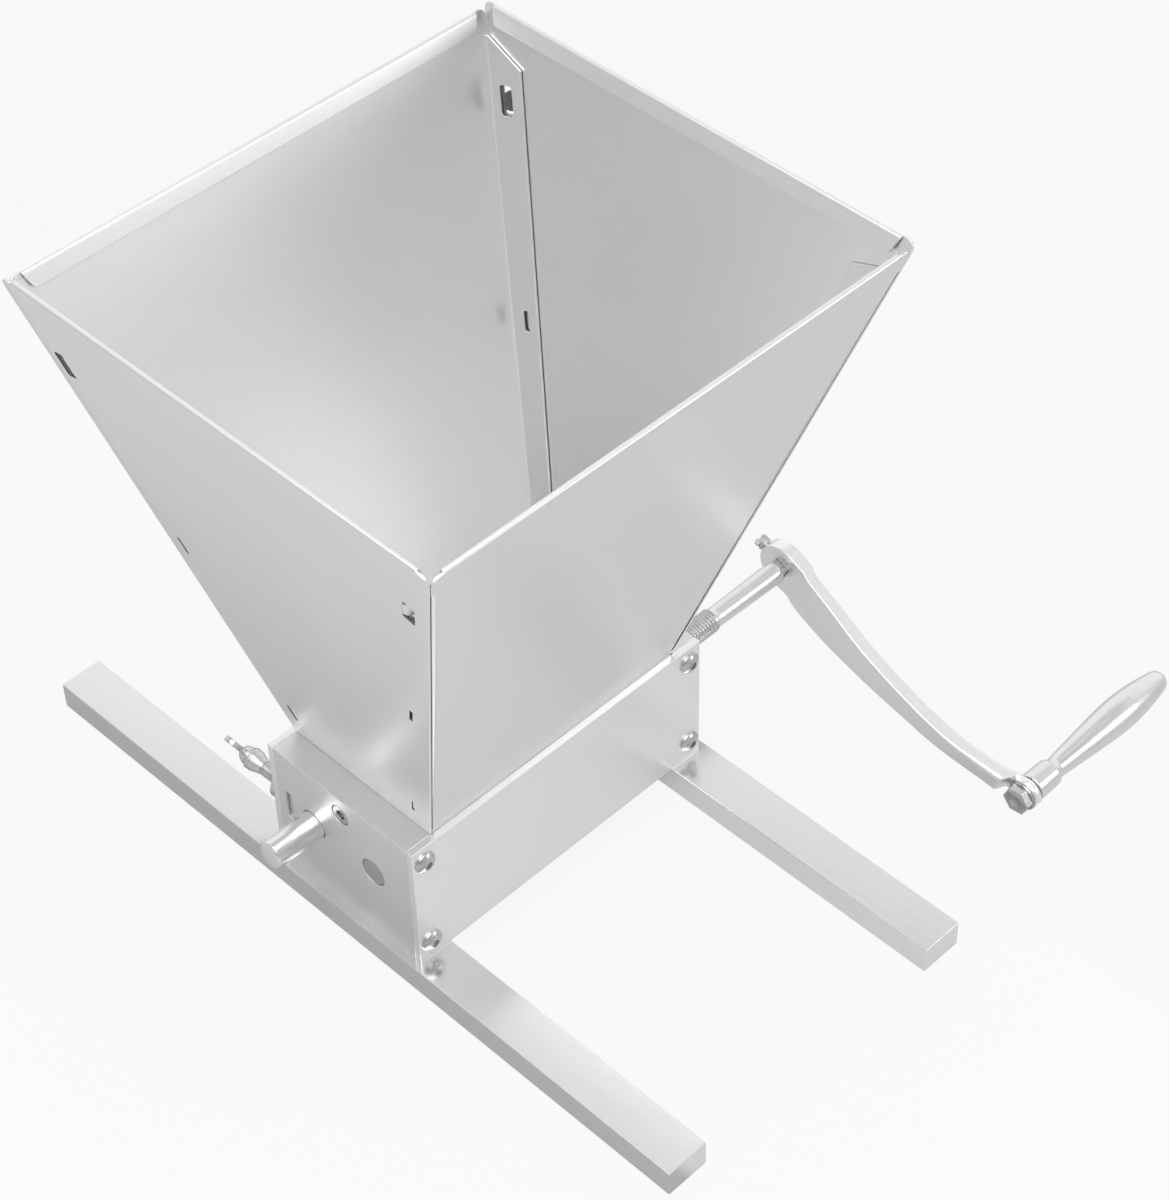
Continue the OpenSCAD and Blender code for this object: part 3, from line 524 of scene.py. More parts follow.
@dataclass
class Hopper:
    """The tapered hopper of four folded sheets, locked together at their corners."""

    body_top: float = 74.4
    plate_inner_x: float = 64.0
    cover_inner_y: float = 37.0
    mouth_length: float = 224.2
    mouth_width: float = 209.8
    height: float = 210.2
    cross_rim_drop: float = 2.3
    sheet: float = 1.0
    sheet_gap: float = 0.3
    hem_width: float = 6.0
    hem_radius: float = 1.2
    side_hem_turn: float = 170.0
    cross_hem_turn: float = 178.0
    hem_end_gap: float = 2.0
    corner_radius: float = 3.0
    bend_radius: float = 1.5
    window_share: float = 0.846
    window_length: float = 11.0
    window_width: float = 5.5
    slit_shares: Point2 = (0.075, 0.465)
    slit_length: float = 8.0
    slit_play: float = 0.3
    slit_side_play: float = 0.4
    cut_corner_share: float = 0.22
    tab_inset: float = 9.0
    tab_half_width: float = 0.5
    tab_taper: float = 0.6
    tab_depth: float = 0.35
    tongue_end_gap: float = 1.6
    tongue_radius: float = 3.0
    tongue_turn: float = 48.0
    tongue_length: float = 2.2
    tongue_tip_share: float = 0.72
    hem_mitre: float = 2.5
    flange_low_share: float = 0.01
    flange_high_share: float = 0.94
    flange_top_slope: float = 6.0
    flange_head_width: float = 18.0
    flange_foot_width: float = 12.0
    flange_window_play: float = 0.6
    flange_slit_width: float = 2.6
    seam_share: float = 0.72
    skirt_depth: float = 4.0
    screw_tab_half_width: float = 8.0
    screw_tab_drop: float = 13.4
    screw_drop: float = 9.0
    screw_hole_radius: float = 2.55
    lip_reach: float = 8.0
    inner_shift: int = 2
    wall_shift: int = 4
    softening: Softening = field(default_factory=lambda: Softening(0.18, 2, 50.0))

    @property
    def side_rise(self) -> float:
        """Widening of the hopper at each end plate."""
        return self.mouth_length / 2 - self.plate_inner_x

    @property
    def cross_rise(self) -> float:
        """Widening of the hopper at each cover."""
        return self.mouth_width / 2 - self.cover_inner_y

    @property
    def side_tilt(self) -> float:
        """Tilt of the side panels in radians."""
        return math.atan(self.side_rise / self.height)

    @property
    def cross_tilt(self) -> float:
        """Tilt of the front and back panels in radians."""
        return math.atan(self.cross_rise / self.height)

    @property
    def side_slant(self) -> float:
        """Length of the side panels up their slant."""
        return math.hypot(self.height, self.side_rise)

    @property
    def cross_slant(self) -> float:
        """Length of the front and back panels up their slant."""
        return math.hypot(self.height, self.cross_rise) * (1 - self.cross_rim_drop / self.height)

    def build(self) -> list[bpy.types.Object]:
        """Builds the four panels.

        Returns:
            The finished pieces.
        """
        pieces = [self._side_panel(side) for side in Side]
        pieces += [self._cross_panel(face) for face in Face]
        return pieces

    def _panel_place(self, turn: float, distance: float, tilt: float) -> Matrix:
        """Returns the placing of a panel's plane.

        Args:
            turn: Turn about Z in degrees; at 0 the panel faces the front.
            distance: Distance of its foot from the middle.
            tilt: Its tilt in radians.

        Returns:
            The placing: X across the panel, Y up it, Z out of the hopper.
        """
        return (
            Matrix.Rotation(math.radians(turn), 4, "Z")
            @ Matrix.Translation((0, -distance, self.body_top))
            @ Matrix.Rotation(math.radians(90) + tilt, 4, "X"))

    def _outline(self, foot: float, head: float, slant: float, top_inset: float) -> list[Point2]:
        """Returns a panel's outline with round top corners and a lowered rim between them.

        Args:
            foot: Half the width at the foot.
            head: Half the width at the rim.
            slant: Length up the slant.
            top_inset: How far the part that is folded into the hem lies below the corners.

        Returns:
            The outline, which starts with the two ends of the rim.
        """
        lean = math.degrees(math.atan((head - foot) / slant))
        back_off = self.corner_radius / math.tan(math.radians((90 - lean) / 2))
        rim = head - back_off - self.hem_end_gap
        right = [(rim, slant)] + arc(
            (head - back_off, slant - self.corner_radius), self.corner_radius, 90, -lean, 6)
        left = [(-x, y) for x, y in reversed(right)]
        low = slant - top_inset
        return [(-rim, low), (rim, low)] + right + [(foot, 0.0), (-foot, 0.0)] + left

    def _slit_frame(self, share: float, hand: int) -> Matrix:
        """Returns the flat placing of a slit beside a side panel's edge.

        Args:
            share: Its place up the slant.
            hand: 1 for the edge at +X of the panel, -1 for the other.

        Returns:
            The placing in the panel's plane.
        """
        up = self.side_slant * share
        across = self.cover_inner_y + self.cross_rise * share - self.tab_inset
        lean = math.atan(self.cross_rise / self.side_slant)
        return Matrix.Translation((hand * across, up, 0)) @ Matrix.Rotation(-hand * lean, 4, "Z")

    def _slit_loop(self, share: float, hand: int, width: float, length: float) -> list[Point2]:
        """Returns the loop of a slit, round at its corners.

        Args:
            share: Its place up the slant.
            hand: 1 for the edge at +X of the panel, -1 for the other.
            width: Its width.
            length: Its length.

        Returns:
            The loop's points in the panel's plane.
        """
        spot = self._slit_frame(share, hand)
        radius = min(width, length) * self.cut_corner_share
        corners = [(1, 1, 0), (-1, 1, 90), (-1, -1, 180), (1, -1, 270)]
        loop: list[Point2] = []
        for sx, sy, start in corners:
            centre = (sx * (width / 2 - radius), sy * (length / 2 - radius))
            round_off = arc(centre, radius, start, start + 90, 3)
            loop += [tuple(spot @ Vector((x, y, 0)))[:2] for x, y in round_off]
        return loop

    def _hem(
        self, bm: bmesh.types.BMesh, rim: Sequence[bmesh.types.BMVert], slant: float, fold: float
    ) -> None:
        """Folds the rim in and down into a hem with mitred ends.

        Args:
            bm: The panel, still flat.
            rim: The two ends of the rim's straight edge.
            slant: Length of the panel up its slant.
            fold: Angle of the fold in degrees.
        """
        edge = bm.edges.get(rim)
        turn = bmesh.ops.spin(
            bm, geom=[*rim, edge], cent=(0, slant - self.hem_radius, -self.hem_radius), axis=(-1, 0, 0),
            dvec=(0, 0, 0), angle=math.radians(fold), steps=12, use_duplicate=False)
        last = [item for item in turn["geom_last"] if isinstance(item, bmesh.types.BMEdge)]
        drop = bmesh.ops.extrude_edge_only(bm, edges=last)
        ends = [item for item in drop["geom"] if isinstance(item, bmesh.types.BMVert)]
        lean = math.radians(180 - fold)
        bmesh.ops.translate(
            bm, vec=(0, -self.hem_width * math.cos(lean), -self.hem_width * math.sin(lean)), verts=ends)
        half = abs(ends[0].co.x)
        bmesh.ops.scale(bm, vec=((half - self.hem_mitre) / half, 1, 1), verts=ends)

    def _walled(
        self, name: str, bm: bmesh.types.BMesh, outwards: Vector, nodes: tuple[str, ...]
    ) -> bpy.types.Object:
        """Turns a bent surface's faces outwards and gives it the sheet's thickness.

        Args:
            name: The piece's name.
            bm: The outer surface of the panel.
            outwards: A way out of the hopper across the panel's main face.
            nodes: The CAD nodes that it replaces.

        Returns:
            The finished panel.
        """
        bmesh.ops.remove_doubles(bm, verts=bm.verts, dist=COARSE_WELD)
        bmesh.ops.recalc_face_normals(bm, faces=bm.faces)
        main = max(bm.faces, key=lambda face: face.calc_area())
        if main.normal.dot(outwards) < 0:
            bmesh.ops.reverse_faces(bm, faces=bm.faces)
        # Painted shade: the dark seam finish goes on the seams' outer side, the walls of the cuts, and the
        # tongues' walls and inner side.
        shades = (SEAM_PAINTED_SHADE, SATIN_SHEET, SATIN_SHEET, SATIN_SHEET, SATIN_SHEET, SEAM_PAINTED_SHADE)
        piece = finished(name, bm, SATIN_SHEET, Seat("frame", Slot.HOPPER, nodes), Softening(0.0), shades)
        piece.modifiers.clear()
        wall = piece.modifiers.new("sheet", "SOLIDIFY")
        wall.thickness = self.sheet * MM
        wall.offset = -1.0
        wall.use_even_offset = True
        wall.material_offset = self.inner_shift
        wall.material_offset_rim = self.wall_shift
        self.softening.apply(piece)
        return piece

    def _side_panel(self, side: Side) -> bpy.types.Object:
        """Builds a side panel with its hem, windows, tongues, slits and skirt.

        Args:
            side: The end of the mill that it stands over.

        Returns:
            The finished panel.
        """
        bm = bmesh.new()
        loops = [self._outline(self.cover_inner_y, self.mouth_width / 2, self.side_slant, self.hem_radius)]
        for hand in (1, -1):
            loops.append(self._slit_loop(self.window_share, hand, self.window_width, self.window_length))
            loops += [
                self._slit_loop(
                    share, hand, self.sheet + self.slit_side_play, self.slit_length + self.slit_play)
                for share in self.slit_shares]
        verts = filled(bm, loops)
        self._paint_shade_on_cuts(verts[len(loops[0]):])
        self._hem(bm, verts[:2], self.side_slant, self.side_hem_turn)
        for hand in (1, -1):
            self._tongue(bm, hand)
        place = self._panel_place(side.value * 90, self.plate_inner_x, self.side_tilt)
        bmesh.ops.transform(bm, matrix=place, verts=bm.verts)
        self._skirt(bm, side)
        name = side.name.lower()
        outwards = Vector((side.value, 0, 0))
        return self._walled(f"{name}_hopper_sheet", bm, outwards, (f"hopper_{name}_panel",))

    def _tongue(self, bm: bmesh.types.BMesh, hand: int) -> None:
        """Bends a lanced tongue in through a lock window from the window's inner edge.

        Args:
            bm: The flat side panel.
            hand: 1 for the edge at +X of the panel, -1 for the other.
        """
        spot = self._slit_frame(self.window_share, hand)
        inner = -hand * self.window_width / 2
        reach = self.window_length / 2 - self.tongue_end_gap
        turn = math.radians(self.tongue_turn)
        verts = [bm.verts.new((inner, end * reach, 0)) for end in (-1, 1)]
        edge = bm.edges.new(verts)
        bend = bmesh.ops.spin(
            bm, geom=[*verts, edge], cent=(inner, 0, -self.tongue_radius), axis=(0, hand, 0), dvec=(0, 0, 0),
            angle=turn, steps=5, use_duplicate=False)
        last = [item for item in bend["geom_last"] if isinstance(item, bmesh.types.BMEdge)]
        tip = bmesh.ops.extrude_edge_only(bm, edges=last)
        ends = [item for item in tip["geom"] if isinstance(item, bmesh.types.BMVert)]
        along, down = self.tongue_length * math.cos(turn), self.tongue_length * math.sin(turn)
        bmesh.ops.translate(bm, vec=(hand * along, 0, -down), verts=ends)
        bmesh.ops.scale(bm, vec=(1, self.tongue_tip_share, 1), verts=ends)
        strip = list(self._linked(verts[0]))
        # The tongue's walls and inner side get painted shade.
        for face in {face for vert in strip for face in vert.link_faces}:
            face.material_index = PaintedShade.TONGUE.value
        bmesh.ops.transform(bm, matrix=spot, verts=strip)

    @staticmethod
    def _paint_shade_on_cuts(verts: Iterable[bmesh.types.BMVert]) -> None:
        """Marks the faces beside cut windows and slits, so that the walls of the cuts get painted shade.

        Args:
            verts: The vertices round the cuts.
        """
        for edge in {edge for vert in verts for edge in vert.link_edges if edge.is_boundary}:
            for face in edge.link_faces:
                face.material_index = PaintedShade.CUT.value

    @staticmethod
    def _linked(start: bmesh.types.BMVert) -> set[bmesh.types.BMVert]:
        """Returns the vertices that edges join to a vertex.

        Args:
            start: The vertex to start from.

        Returns:
            All the vertices that hang together with it.
        """
        found, queue = {start}, [start]
        while queue:
            for edge in queue.pop().link_edges:
                for vert in edge.verts:
                    if vert not in found:
                        found.add(vert)
                        queue.append(vert)
        return found

    def _skirt(self, bm: bmesh.types.BMesh, side: Side) -> None:
        """Adds a side panel's upright skirt inside the body, with the tongue that is screwed on.

        Args:
            bm: The panel in its place.
            side: The end of the mill.
        """
        half = self.cover_inner_y - self.sheet - self.sheet_gap
        low = self.body_top - self.skirt_depth
        tab, foot = self.screw_tab_half_width, self.body_top - self.screw_tab_drop
        screw = self.body_top - self.screw_drop
        outline = [
            (-half, self.body_top), (half, self.body_top), (half, low), (tab, low),
            (tab, foot), (-tab, foot), (-tab, low), (-half, low)]
        fresh = filled(bm, [outline, arc((0, screw), self.screw_hole_radius, 0, 345, 23)])
        turn = Matrix(((0, 0, 1, side.value * self.plate_inner_x), (1, 0, 0, 0), (0, 1, 0, 0), (0, 0, 0, 1)))
        bmesh.ops.transform(bm, matrix=turn, verts=fresh)

    def _corner_line(self, rise: float) -> Vector:
        """Returns the point of the +X, +Y corner line at a height above the body.

        Args:
            rise: The height above the body.

        Returns:
            The point where the outer faces of a flange and its panel would meet.
        """
        inset = (self.sheet + self.sheet_gap) / math.cos(self.side_tilt)
        return Vector((
            self.plate_inner_x - inset + self.side_rise * rise / self.height,
            self.cover_inner_y + self.cross_rise * rise / self.height,
            self.body_top + rise))

    def _cross_panel(self, face: Face) -> bpy.types.Object:
        """Builds the front or the back panel with its hem, corner flanges and grain lip.

        Args:
            face: The face of the mill that it stands over.

        Returns:
            The finished panel.
        """
        bm = bmesh.new()
        inset = (self.sheet + self.sheet_gap) / math.cos(self.side_tilt)
        foot = self.plate_inner_x - inset
        head = foot + self.side_rise * (1 - self.cross_rim_drop / self.height)
        outline = self._outline(foot, head, self.cross_slant, self.hem_radius)
        verts = filled(bm, [self._relieved(outline, foot, head)])
        self._hem(bm, verts[:2], self.cross_slant, self.cross_hem_turn)
        bmesh.ops.transform(
            bm, matrix=self._panel_place(180, self.cover_inner_y, self.cross_tilt), verts=bm.verts)
        self._lip(bm)
        for side in Side:
            self._flange(bm, side)
        about = 0 if face is Face.BACK else math.pi
        bmesh.ops.transform(bm, matrix=Matrix.Rotation(about, 4, "Z"), verts=bm.verts)
        name = face.name.lower()
        return self._walled(f"{name}_hopper_sheet", bm, Vector((0, face.value, 0)), (f"hopper_{name}_panel",))

    @property
    def _flange_span(self) -> Point2:
        """Span of the corner flanges' folds.

        Returns:
            The heights above the body between which they are folded.
        """
        lift = (self.sheet + self.sheet_gap) * math.sin(self.side_tilt)
        up = self.side_slant * math.cos(self.side_tilt)
        return self.flange_low_share * up + lift, self.flange_high_share * up + lift

    @property
    def _bend_set_back(self) -> float:
        """Distance of a corner bend's start from the corner line."""
        return self.bend_radius * math.tan(self._bend_angle / 2)

    @property
    def _bend_angle(self) -> float:
        """Angle of the corner bends in radians."""
        return self._side_normal.angle(self._cross_normal)

    @property
    def _side_normal(self) -> Vector:
        """Way out of the hopper across the +X panel."""
        return Vector((math.cos(self.side_tilt), 0, -math.sin(self.side_tilt)))

    @property
    def _cross_normal(self) -> Vector:
        """Way out of the hopper across the +Y panel."""
        return Vector((0, math.cos(self.cross_tilt), -math.sin(self.cross_tilt)))

    def _relieved(self, outline: list[Point2], foot: float, head: float) -> list[Point2]:
        """Sets a panel's edges back where its flanges are bent off.

        Args:
            outline: The outline with straight edges.
            foot: Half its width at the foot.
            head: Half its width at the rim.

        Returns:
            The outline with its edges set back.
        """
        up = math.hypot(self.height, self.cross_rise) / self.height
        slope = (head - foot) / self.cross_slant
        back = self._bend_set_back * math.hypot(1, slope)
        low, high = (rise * up for rise in self._flange_span)
        shift = self._bend_set_back * math.sin(math.atan(slope))
        low, high = low + shift, high + shift
        right = [
            (foot + slope * high, high), (foot + slope * high - back, high),
            (foot + slope * low - back, low), (foot + slope * low, low)]
        at = outline.index((foot, 0.0))
        left = [(-x, y) for x, y in reversed(right)]
        return outline[:at] + right + outline[at:at + 2] + left + outline[at + 2:]

    def _flange(self, bm: bmesh.types.BMesh, side: Side) -> None:
        """Bends a corner flange off the back panel, with its window and its two tabs.

        Args:
            bm: The back panel in its place.
            side: The end at which the flange lies.
        """
        line = (self._corner_line(1.0) - self._corner_line(0.0)).normalized()
        in_cross = line.cross(self._cross_normal)
        if in_cross.x > 0:
            in_cross.negate()
        low, high = self._flange_span
        near = [self._corner_line(rise) + in_cross * self._bend_set_back for rise in (low, high)]
        verts = [bm.verts.new(point) for point in near]
        edge = bm.edges.new(verts)
        cent = near[0] - self._cross_normal * self.bend_radius
        bend = bmesh.ops.spin(
            bm, geom=[*verts, edge], cent=cent, axis=-line, dvec=(0, 0, 0), angle=self._bend_angle,
            steps=6, use_duplicate=False)
        # The bend's faces that face out along the side panel get painted shade as a dark seam.
        for face in {face for vert in self._linked(verts[0]) for face in vert.link_faces}:
            face.normal_update()
            if abs(face.normal.dot(self._side_normal)) > self.seam_share:
                face.material_index = PaintedShade.SEAM.value
        ends = [item.co.copy() for item in bend["geom_last"] if isinstance(item, bmesh.types.BMVert)]
        ends.sort(key=lambda point: point.z)
        back = self._panel_place(90, self.plate_inner_x, self.side_tilt)
        flat = back.inverted()
        depth = self.sheet + self.sheet_gap
        foot, head = (tuple(flat @ point)[:2] for point in ends)
        low_up = self.flange_low_share * self.side_slant
        high_up = self.flange_high_share * self.side_slant - self.flange_top_slope
        outline = [
            foot, head, (self._edge_at(high_up) - self.flange_head_width, high_up),
            (self._edge_at(low_up) - self.flange_foot_width, low_up)]
        play = self.flange_window_play
        holes = [
            self._slit_loop(self.window_share, 1, self.window_width + play, self.window_length + play),
            self._slit_loop(self.slit_shares[1], 1, self.flange_slit_width, self.slit_length)]
        fresh = filled(bm, [outline, *holes])
        self._paint_shade_on_cuts(fresh[len(outline):])
        bmesh.ops.transform(bm, matrix=back @ Matrix.Translation((0, 0, -depth)), verts=fresh)
        strip = self._linked(verts[0]) | set(fresh)
        self._hook(bm, back, depth, strip)
        if side is Side.LEFT:
            bmesh.ops.transform(bm, matrix=Matrix.Scale(-1, 4, (1, 0, 0)), verts=list(strip))

    def _edge_at(self, up: float) -> float:
        """Returns half a side panel's width at a length up its slant."""
        return self.cover_inner_y + self.cross_rise * up / self.side_slant

    def _hook(self, bm: bmesh.types.BMesh, back: Matrix, depth: float, strip: set) -> None:
        """Adds the small tabs that lock a flange into the side panel's slits.

        Args:
            bm: The back panel in its place.
            back: Placing of the side panel's plane.
            depth: Depth of the flange's outer face in it.
            strip: The flange's vertices, to which the tabs' are added.
        """
        for share in self.slit_shares:
            spot = back @ self._slit_frame(share, 1)
            wide, half = self.tab_half_width, self.slit_length / 2 - self.slit_play
            tip = half - self.tab_taper
            ring = [
                (wide, -half, -depth), (wide, half, -depth),
                (wide, tip, -self.tab_depth), (wide, -tip, -self.tab_depth)]
            verts, edges = looped(bm, ring)
            bmesh.ops.holes_fill(bm, edges=edges, sides=0)
            bmesh.ops.transform(bm, matrix=spot, verts=verts)
            strip.update(verts)

    def _lip(self, bm: bmesh.types.BMesh) -> None:
        """Adds the back panel's skirt and the lip that leads the grain onto the rollers.

        Args:
            bm: The back panel in its place.
        """
        half = self.plate_inner_x - self.sheet - self.sheet_gap
        y, low = self.cover_inner_y, self.body_top - self.skirt_depth
        start = [bm.verts.new((x, y, self.body_top)) for x in (-half, half)]
        edge = bm.edges.new(start)
        for move in ((0, 0, low - self.body_top), (0, -self.lip_reach, -self.lip_reach)):
            fold = bmesh.ops.extrude_edge_only(bm, edges=[edge])
            ends = [item for item in fold["geom"] if isinstance(item, bmesh.types.BMVert)]
            edge = next(item for item in fold["geom"] if isinstance(item, bmesh.types.BMEdge)
                        and all(vert in ends for vert in item.verts))
            bmesh.ops.translate(bm, vec=move, verts=ends)


# Rollers and adjusters


@dataclass
class RollerPair:
    """The driven and the idler roller, each with straight flutes and eased ends."""

    radius: float = 16.0
    half_length: float = 63.5
    flutes: int = 36
    flute_depth: float = 0.8
    flute_points: int = 4
    end_ease: float = 0.7
    journal_radius: float = 6.0
    journal_end: float = 75.9
    journal_ease: float = 0.5
    spindle_bore: float = 4.43
    spindle_bore_x: float = 55.5
    bush_bore: float = 6.03
    bush_bore_depth: float = 14.5
    drive_axis: Point2 = (-16.5, 46.3)
    idler_axis: Point2 = (16.4975, 45.8937)

    def build(self) -> list[bpy.types.Object]:
        """Builds both rollers.

        Returns:
            The finished pieces.
        """
        barrel = [(self.end_ease, self.half_length), (0.0, self.half_length - self.end_ease)]
        journal = [
            (self.journal_radius, self.half_length),
            (self.journal_radius, self.journal_end - self.journal_ease),
            (self.journal_radius - self.journal_ease, self.journal_end)]
        drive_left = [(radius, -x) for radius, x in reversed(journal)]
        drive_right = journal + [
            (self.spindle_bore, self.journal_end), (self.spindle_bore, self.spindle_bore_x)]
        bore = [(self.bush_bore, self.half_length), (self.bush_bore, self.half_length - self.bush_bore_depth)]
        idler_left = [(radius, -x) for radius, x in reversed(bore)]
        return [
            self._roller("fluted_drive_roller", self.drive_axis, drive_left, barrel, drive_right,
                         Seat("crank", Slot.ROLLER, ("drive_roller",))),
            self._roller("fluted_idler_roller", self.idler_axis, idler_left, barrel, bore,
                         Seat("idler", Slot.ROLLER, ("idler_roller",))),
        ]

    def _ring(self, x: float, radius: float, fluted: bool) -> list[Point3]:
        """Returns a ring of points across a roller.

        Args:
            x: Its place along the roller.
            radius: Its radius.
            fluted: Whether the first point of each flute lies at its root.

        Returns:
            The ring's points.
        """
        count = self.flutes * self.flute_points
        points = []
        for at in range(count):
            deep = self.flute_depth if fluted and at % self.flute_points == 0 else 0.0
            angle = math.tau * at / count
            points.append(((radius - deep) * math.cos(angle), (radius - deep) * math.sin(angle), x))
        return points

    def _roller(
        self, name: str, axis: Point2, left: list[Point2], barrel: list[Point2], right: list[Point2],
        seat: Seat
    ) -> bpy.types.Object:
        """Bridges the rings of one roller from its left end to its right end.

        Args:
            name: The piece's name.
            axis: Y and Z of its axis.
            left: Radius and place of the plain rings at its left end.
            barrel: Inset and place of the fluted rings at its right half.
            right: Radius and place of the plain rings at its right end.
            seat: Where the roller belongs.

        Returns:
            The finished roller.
        """
        rings = [self._ring(x, radius, False) for radius, x in left]
        rings += [self._ring(-x, self.radius - inset, True) for inset, x in barrel]
        rings += [self._ring(x, self.radius - inset, True) for inset, x in reversed(barrel)]
        rings += [self._ring(x, radius, False) for radius, x in right]
        bm = bmesh.new()
        bridged(bm, rings)
        settle(bm, along_x(0, *axis))
        return finished(name, bm, ROLLER_FACE, seat, Softening(0.0))


@dataclass
class GapAdjusters:
    """The two turned adjusters, each a knob with an offset pin that carries the idler roller."""

    axis: Point2 = (16.92012, 46.8)
    pin_axis: Point2 = (16.4975, 45.8937)
    plate_inner_x: float = 64.0
    end_x: float = 98.0
    radius: float = 6.0
    end_shape: tuple[Point2, ...] = ((0.9, 0.0), (0.75, 0.05), (0.1, 0.7), (0.0, 0.85))
    pin_radius: float = 4.0
    pin_start_x: float = 50.0
    pin_end_x: float = 65.0
    pin_ease: float = 0.3

    def build(self) -> list[bpy.types.Object]:
        """Builds both adjusters.

        Returns:
            The finished pieces.
        """
        return [self._adjuster(side) for side in Side]

    def _adjuster(self, side: Side) -> bpy.types.Object:
        """Turns one adjuster.

        Args:
            side: The end of the mill.

        Returns:
            The finished adjuster.
        """
        bm = bmesh.new()
        turned(bm, [
            (self.pin_start_x, 0.0), (self.pin_start_x, self.pin_radius - self.pin_ease),
            (self.pin_start_x + self.pin_ease, self.pin_radius), (self.pin_end_x, self.pin_radius),
            (self.pin_end_x, 0.0)])
        bmesh.ops.transform(bm, matrix=along_x(0, *self.pin_axis), verts=bm.verts)
        knob = bmesh.new()
        rim = [(self.end_x - back, self.radius - inset) for back, inset in self.end_shape]
        turned(knob, [
            (self.plate_inner_x, 0.0), (self.plate_inner_x, self.radius), *rim, (self.end_x, 0.0)], 96)
        bmesh.ops.transform(knob, matrix=along_x(0, *self.axis), verts=knob.verts)
        joined = bpy.data.meshes.new("knob")
        knob.to_mesh(joined)
        knob.free()
        bm.from_mesh(joined)
        bpy.data.meshes.remove(joined)
        settle(bm, mirrored(side))
        name = side.name.lower()
        seat = Seat(f"{name}_gap_adjuster", Slot.TURNED, (f"{name}_adjuster",))
        # The knob's lighter turned steel paints light onto it.
        return finished(f"turned_{name}_adjuster", bm, TURNED_KNOB_PAINTED_LIGHT, seat, Softening(0.0))


# Wing screws


@dataclass
class WingScrew:
    """A screw with two wings on a collared hub. Its collar starts at zero and its thread runs down."""

    name: str
    place: Matrix
    seat: Seat
    thread: float = 3.0
    core: float = 2.45
    pitch: float = 1.0
    reach: float = 33.78
    neck: float = 5.5
    collar: float = 4.5
    collar_height: float = 2.4
    hub_height: float = 6.5
    span: float = 22.0
    wing_height: float = 12.5
    lobe: float = 3.8
    blade: float = 2.3
    groove: float = 0.18
    thread_overlap: float = 0.3
    neck_shape: tuple[Point2, ...] = ((1.0, 0.3), (0.93, 0.1))
    foot_shape: Point2 = (0.05, 0.2)
    groove_span: Point2 = (0.22, 0.38)
    plain_shares: tuple[float, ...] = (0.0, 0.16, 0.44, 0.88)
    collar_ease: float = 0.3
    dome_inset: float = 0.4
    blade_top_share: float = 0.78
    blade_softening_share: float = 0.2

    def build(self) -> bpy.types.Object:
        """Builds the screw.

        Returns:
            The finished piece.
        """
        bm = bmesh.new()
        threaded(bm, -self.reach, -self.neck + self.thread_overlap, self.thread, self.core, self.pitch)
        for face in bm.faces:
            face.material_index = 1
        height, rim = self.collar_height, self.collar
        neck = [(-self.neck * share, self.thread - inset) for share, inset in self.neck_shape]
        collar = [(height * share, rim) for share in self.plain_shares]
        collar += [(height * share, rim - self.groove) for share in self.groove_span]
        wide = rim - self.dome_inset
        dome = [
            (height + self.hub_height * math.sin(math.radians(a)), wide * math.cos(math.radians(a)))
            for a in range(0, 90, 10)]
        foot_share, foot_inset = self.foot_shape
        turned(bm, [
            (-self.neck, 0.0), *neck, (-foot_share * self.neck, rim - foot_inset), *sorted(collar),
            (height, rim - self.collar_ease), *dome, (height + self.hub_height, 0.0)], 64)
        self._wings(bm)
        settle(bm, self.place)
        softening = Softening(self.blade * self.blade_softening_share, 3, 60.0)
        return finished(self.name, bm, BRIGHT_WING, self.seat, softening, (THREAD_STEEL,))

    def _wings(self, bm: bmesh.types.BMesh) -> None:
        """Adds the flat blade with its two rounded lobes.

        Args:
            bm: The screw to add to.
        """
        out, up = self.span / 2 - self.lobe, self.wing_height - self.lobe
        right = arc((out, up), self.lobe, -45, 135, 14)
        left = [(-x, y) for x, y in reversed(right)]
        top = self.collar_height + self.blade_top_share * self.hub_height
        outline = [(0.0, self.collar_height / 2)] + right + [(0.0, top)] + left
        fresh = filled(bm, [outline])
        faces = list({face for vert in fresh for face in vert.link_faces})
        grown = bmesh.ops.extrude_face_region(bm, geom=faces)
        raised = [item for item in grown["geom"] if isinstance(item, bmesh.types.BMVert)]
        bmesh.ops.translate(bm, vec=(0, 0, self.blade), verts=raised)
        stand = Matrix.Rotation(math.radians(90), 4, "X") @ Matrix.Translation((0, 0, -self.blade / 2))
        bmesh.ops.transform(bm, matrix=stand, verts=fresh + raised)


# Crank and handle


def eased(table: Sequence[Point2], at: float, blur: float = 0.03) -> float:
    """Returns the value of a table of points, rounded off between them.

    Args:
        table: Points of place and value, in order.
        at: The place.
        blur: How far the rounding reaches.

    Returns:
        The value there.
    """

    def straight(place: float) -> float:
        """Returns the table's value on the straight between two points.

        Args:
            place: The place.

        Returns:
            The value there.
        """
        if place <= table[0][0]:
            return table[0][1]
        for (x0, y0), (x1, y1) in zip(table, table[1:]):
            if place <= x1:
                return y0 + (y1 - y0) * (place - x0) / (x1 - x0)
        return table[-1][1]

    return (straight(at - blur) + 2 * straight(at) + straight(at + blur)) / 4


def stepped(value: float, low: float, high: float) -> float:
    """Returns a smooth step from 0 at low to 1 at high."""
    share = min(1.0, max(0.0, (value - low) / (high - low)))
    return share * share * (3 - 2 * share)


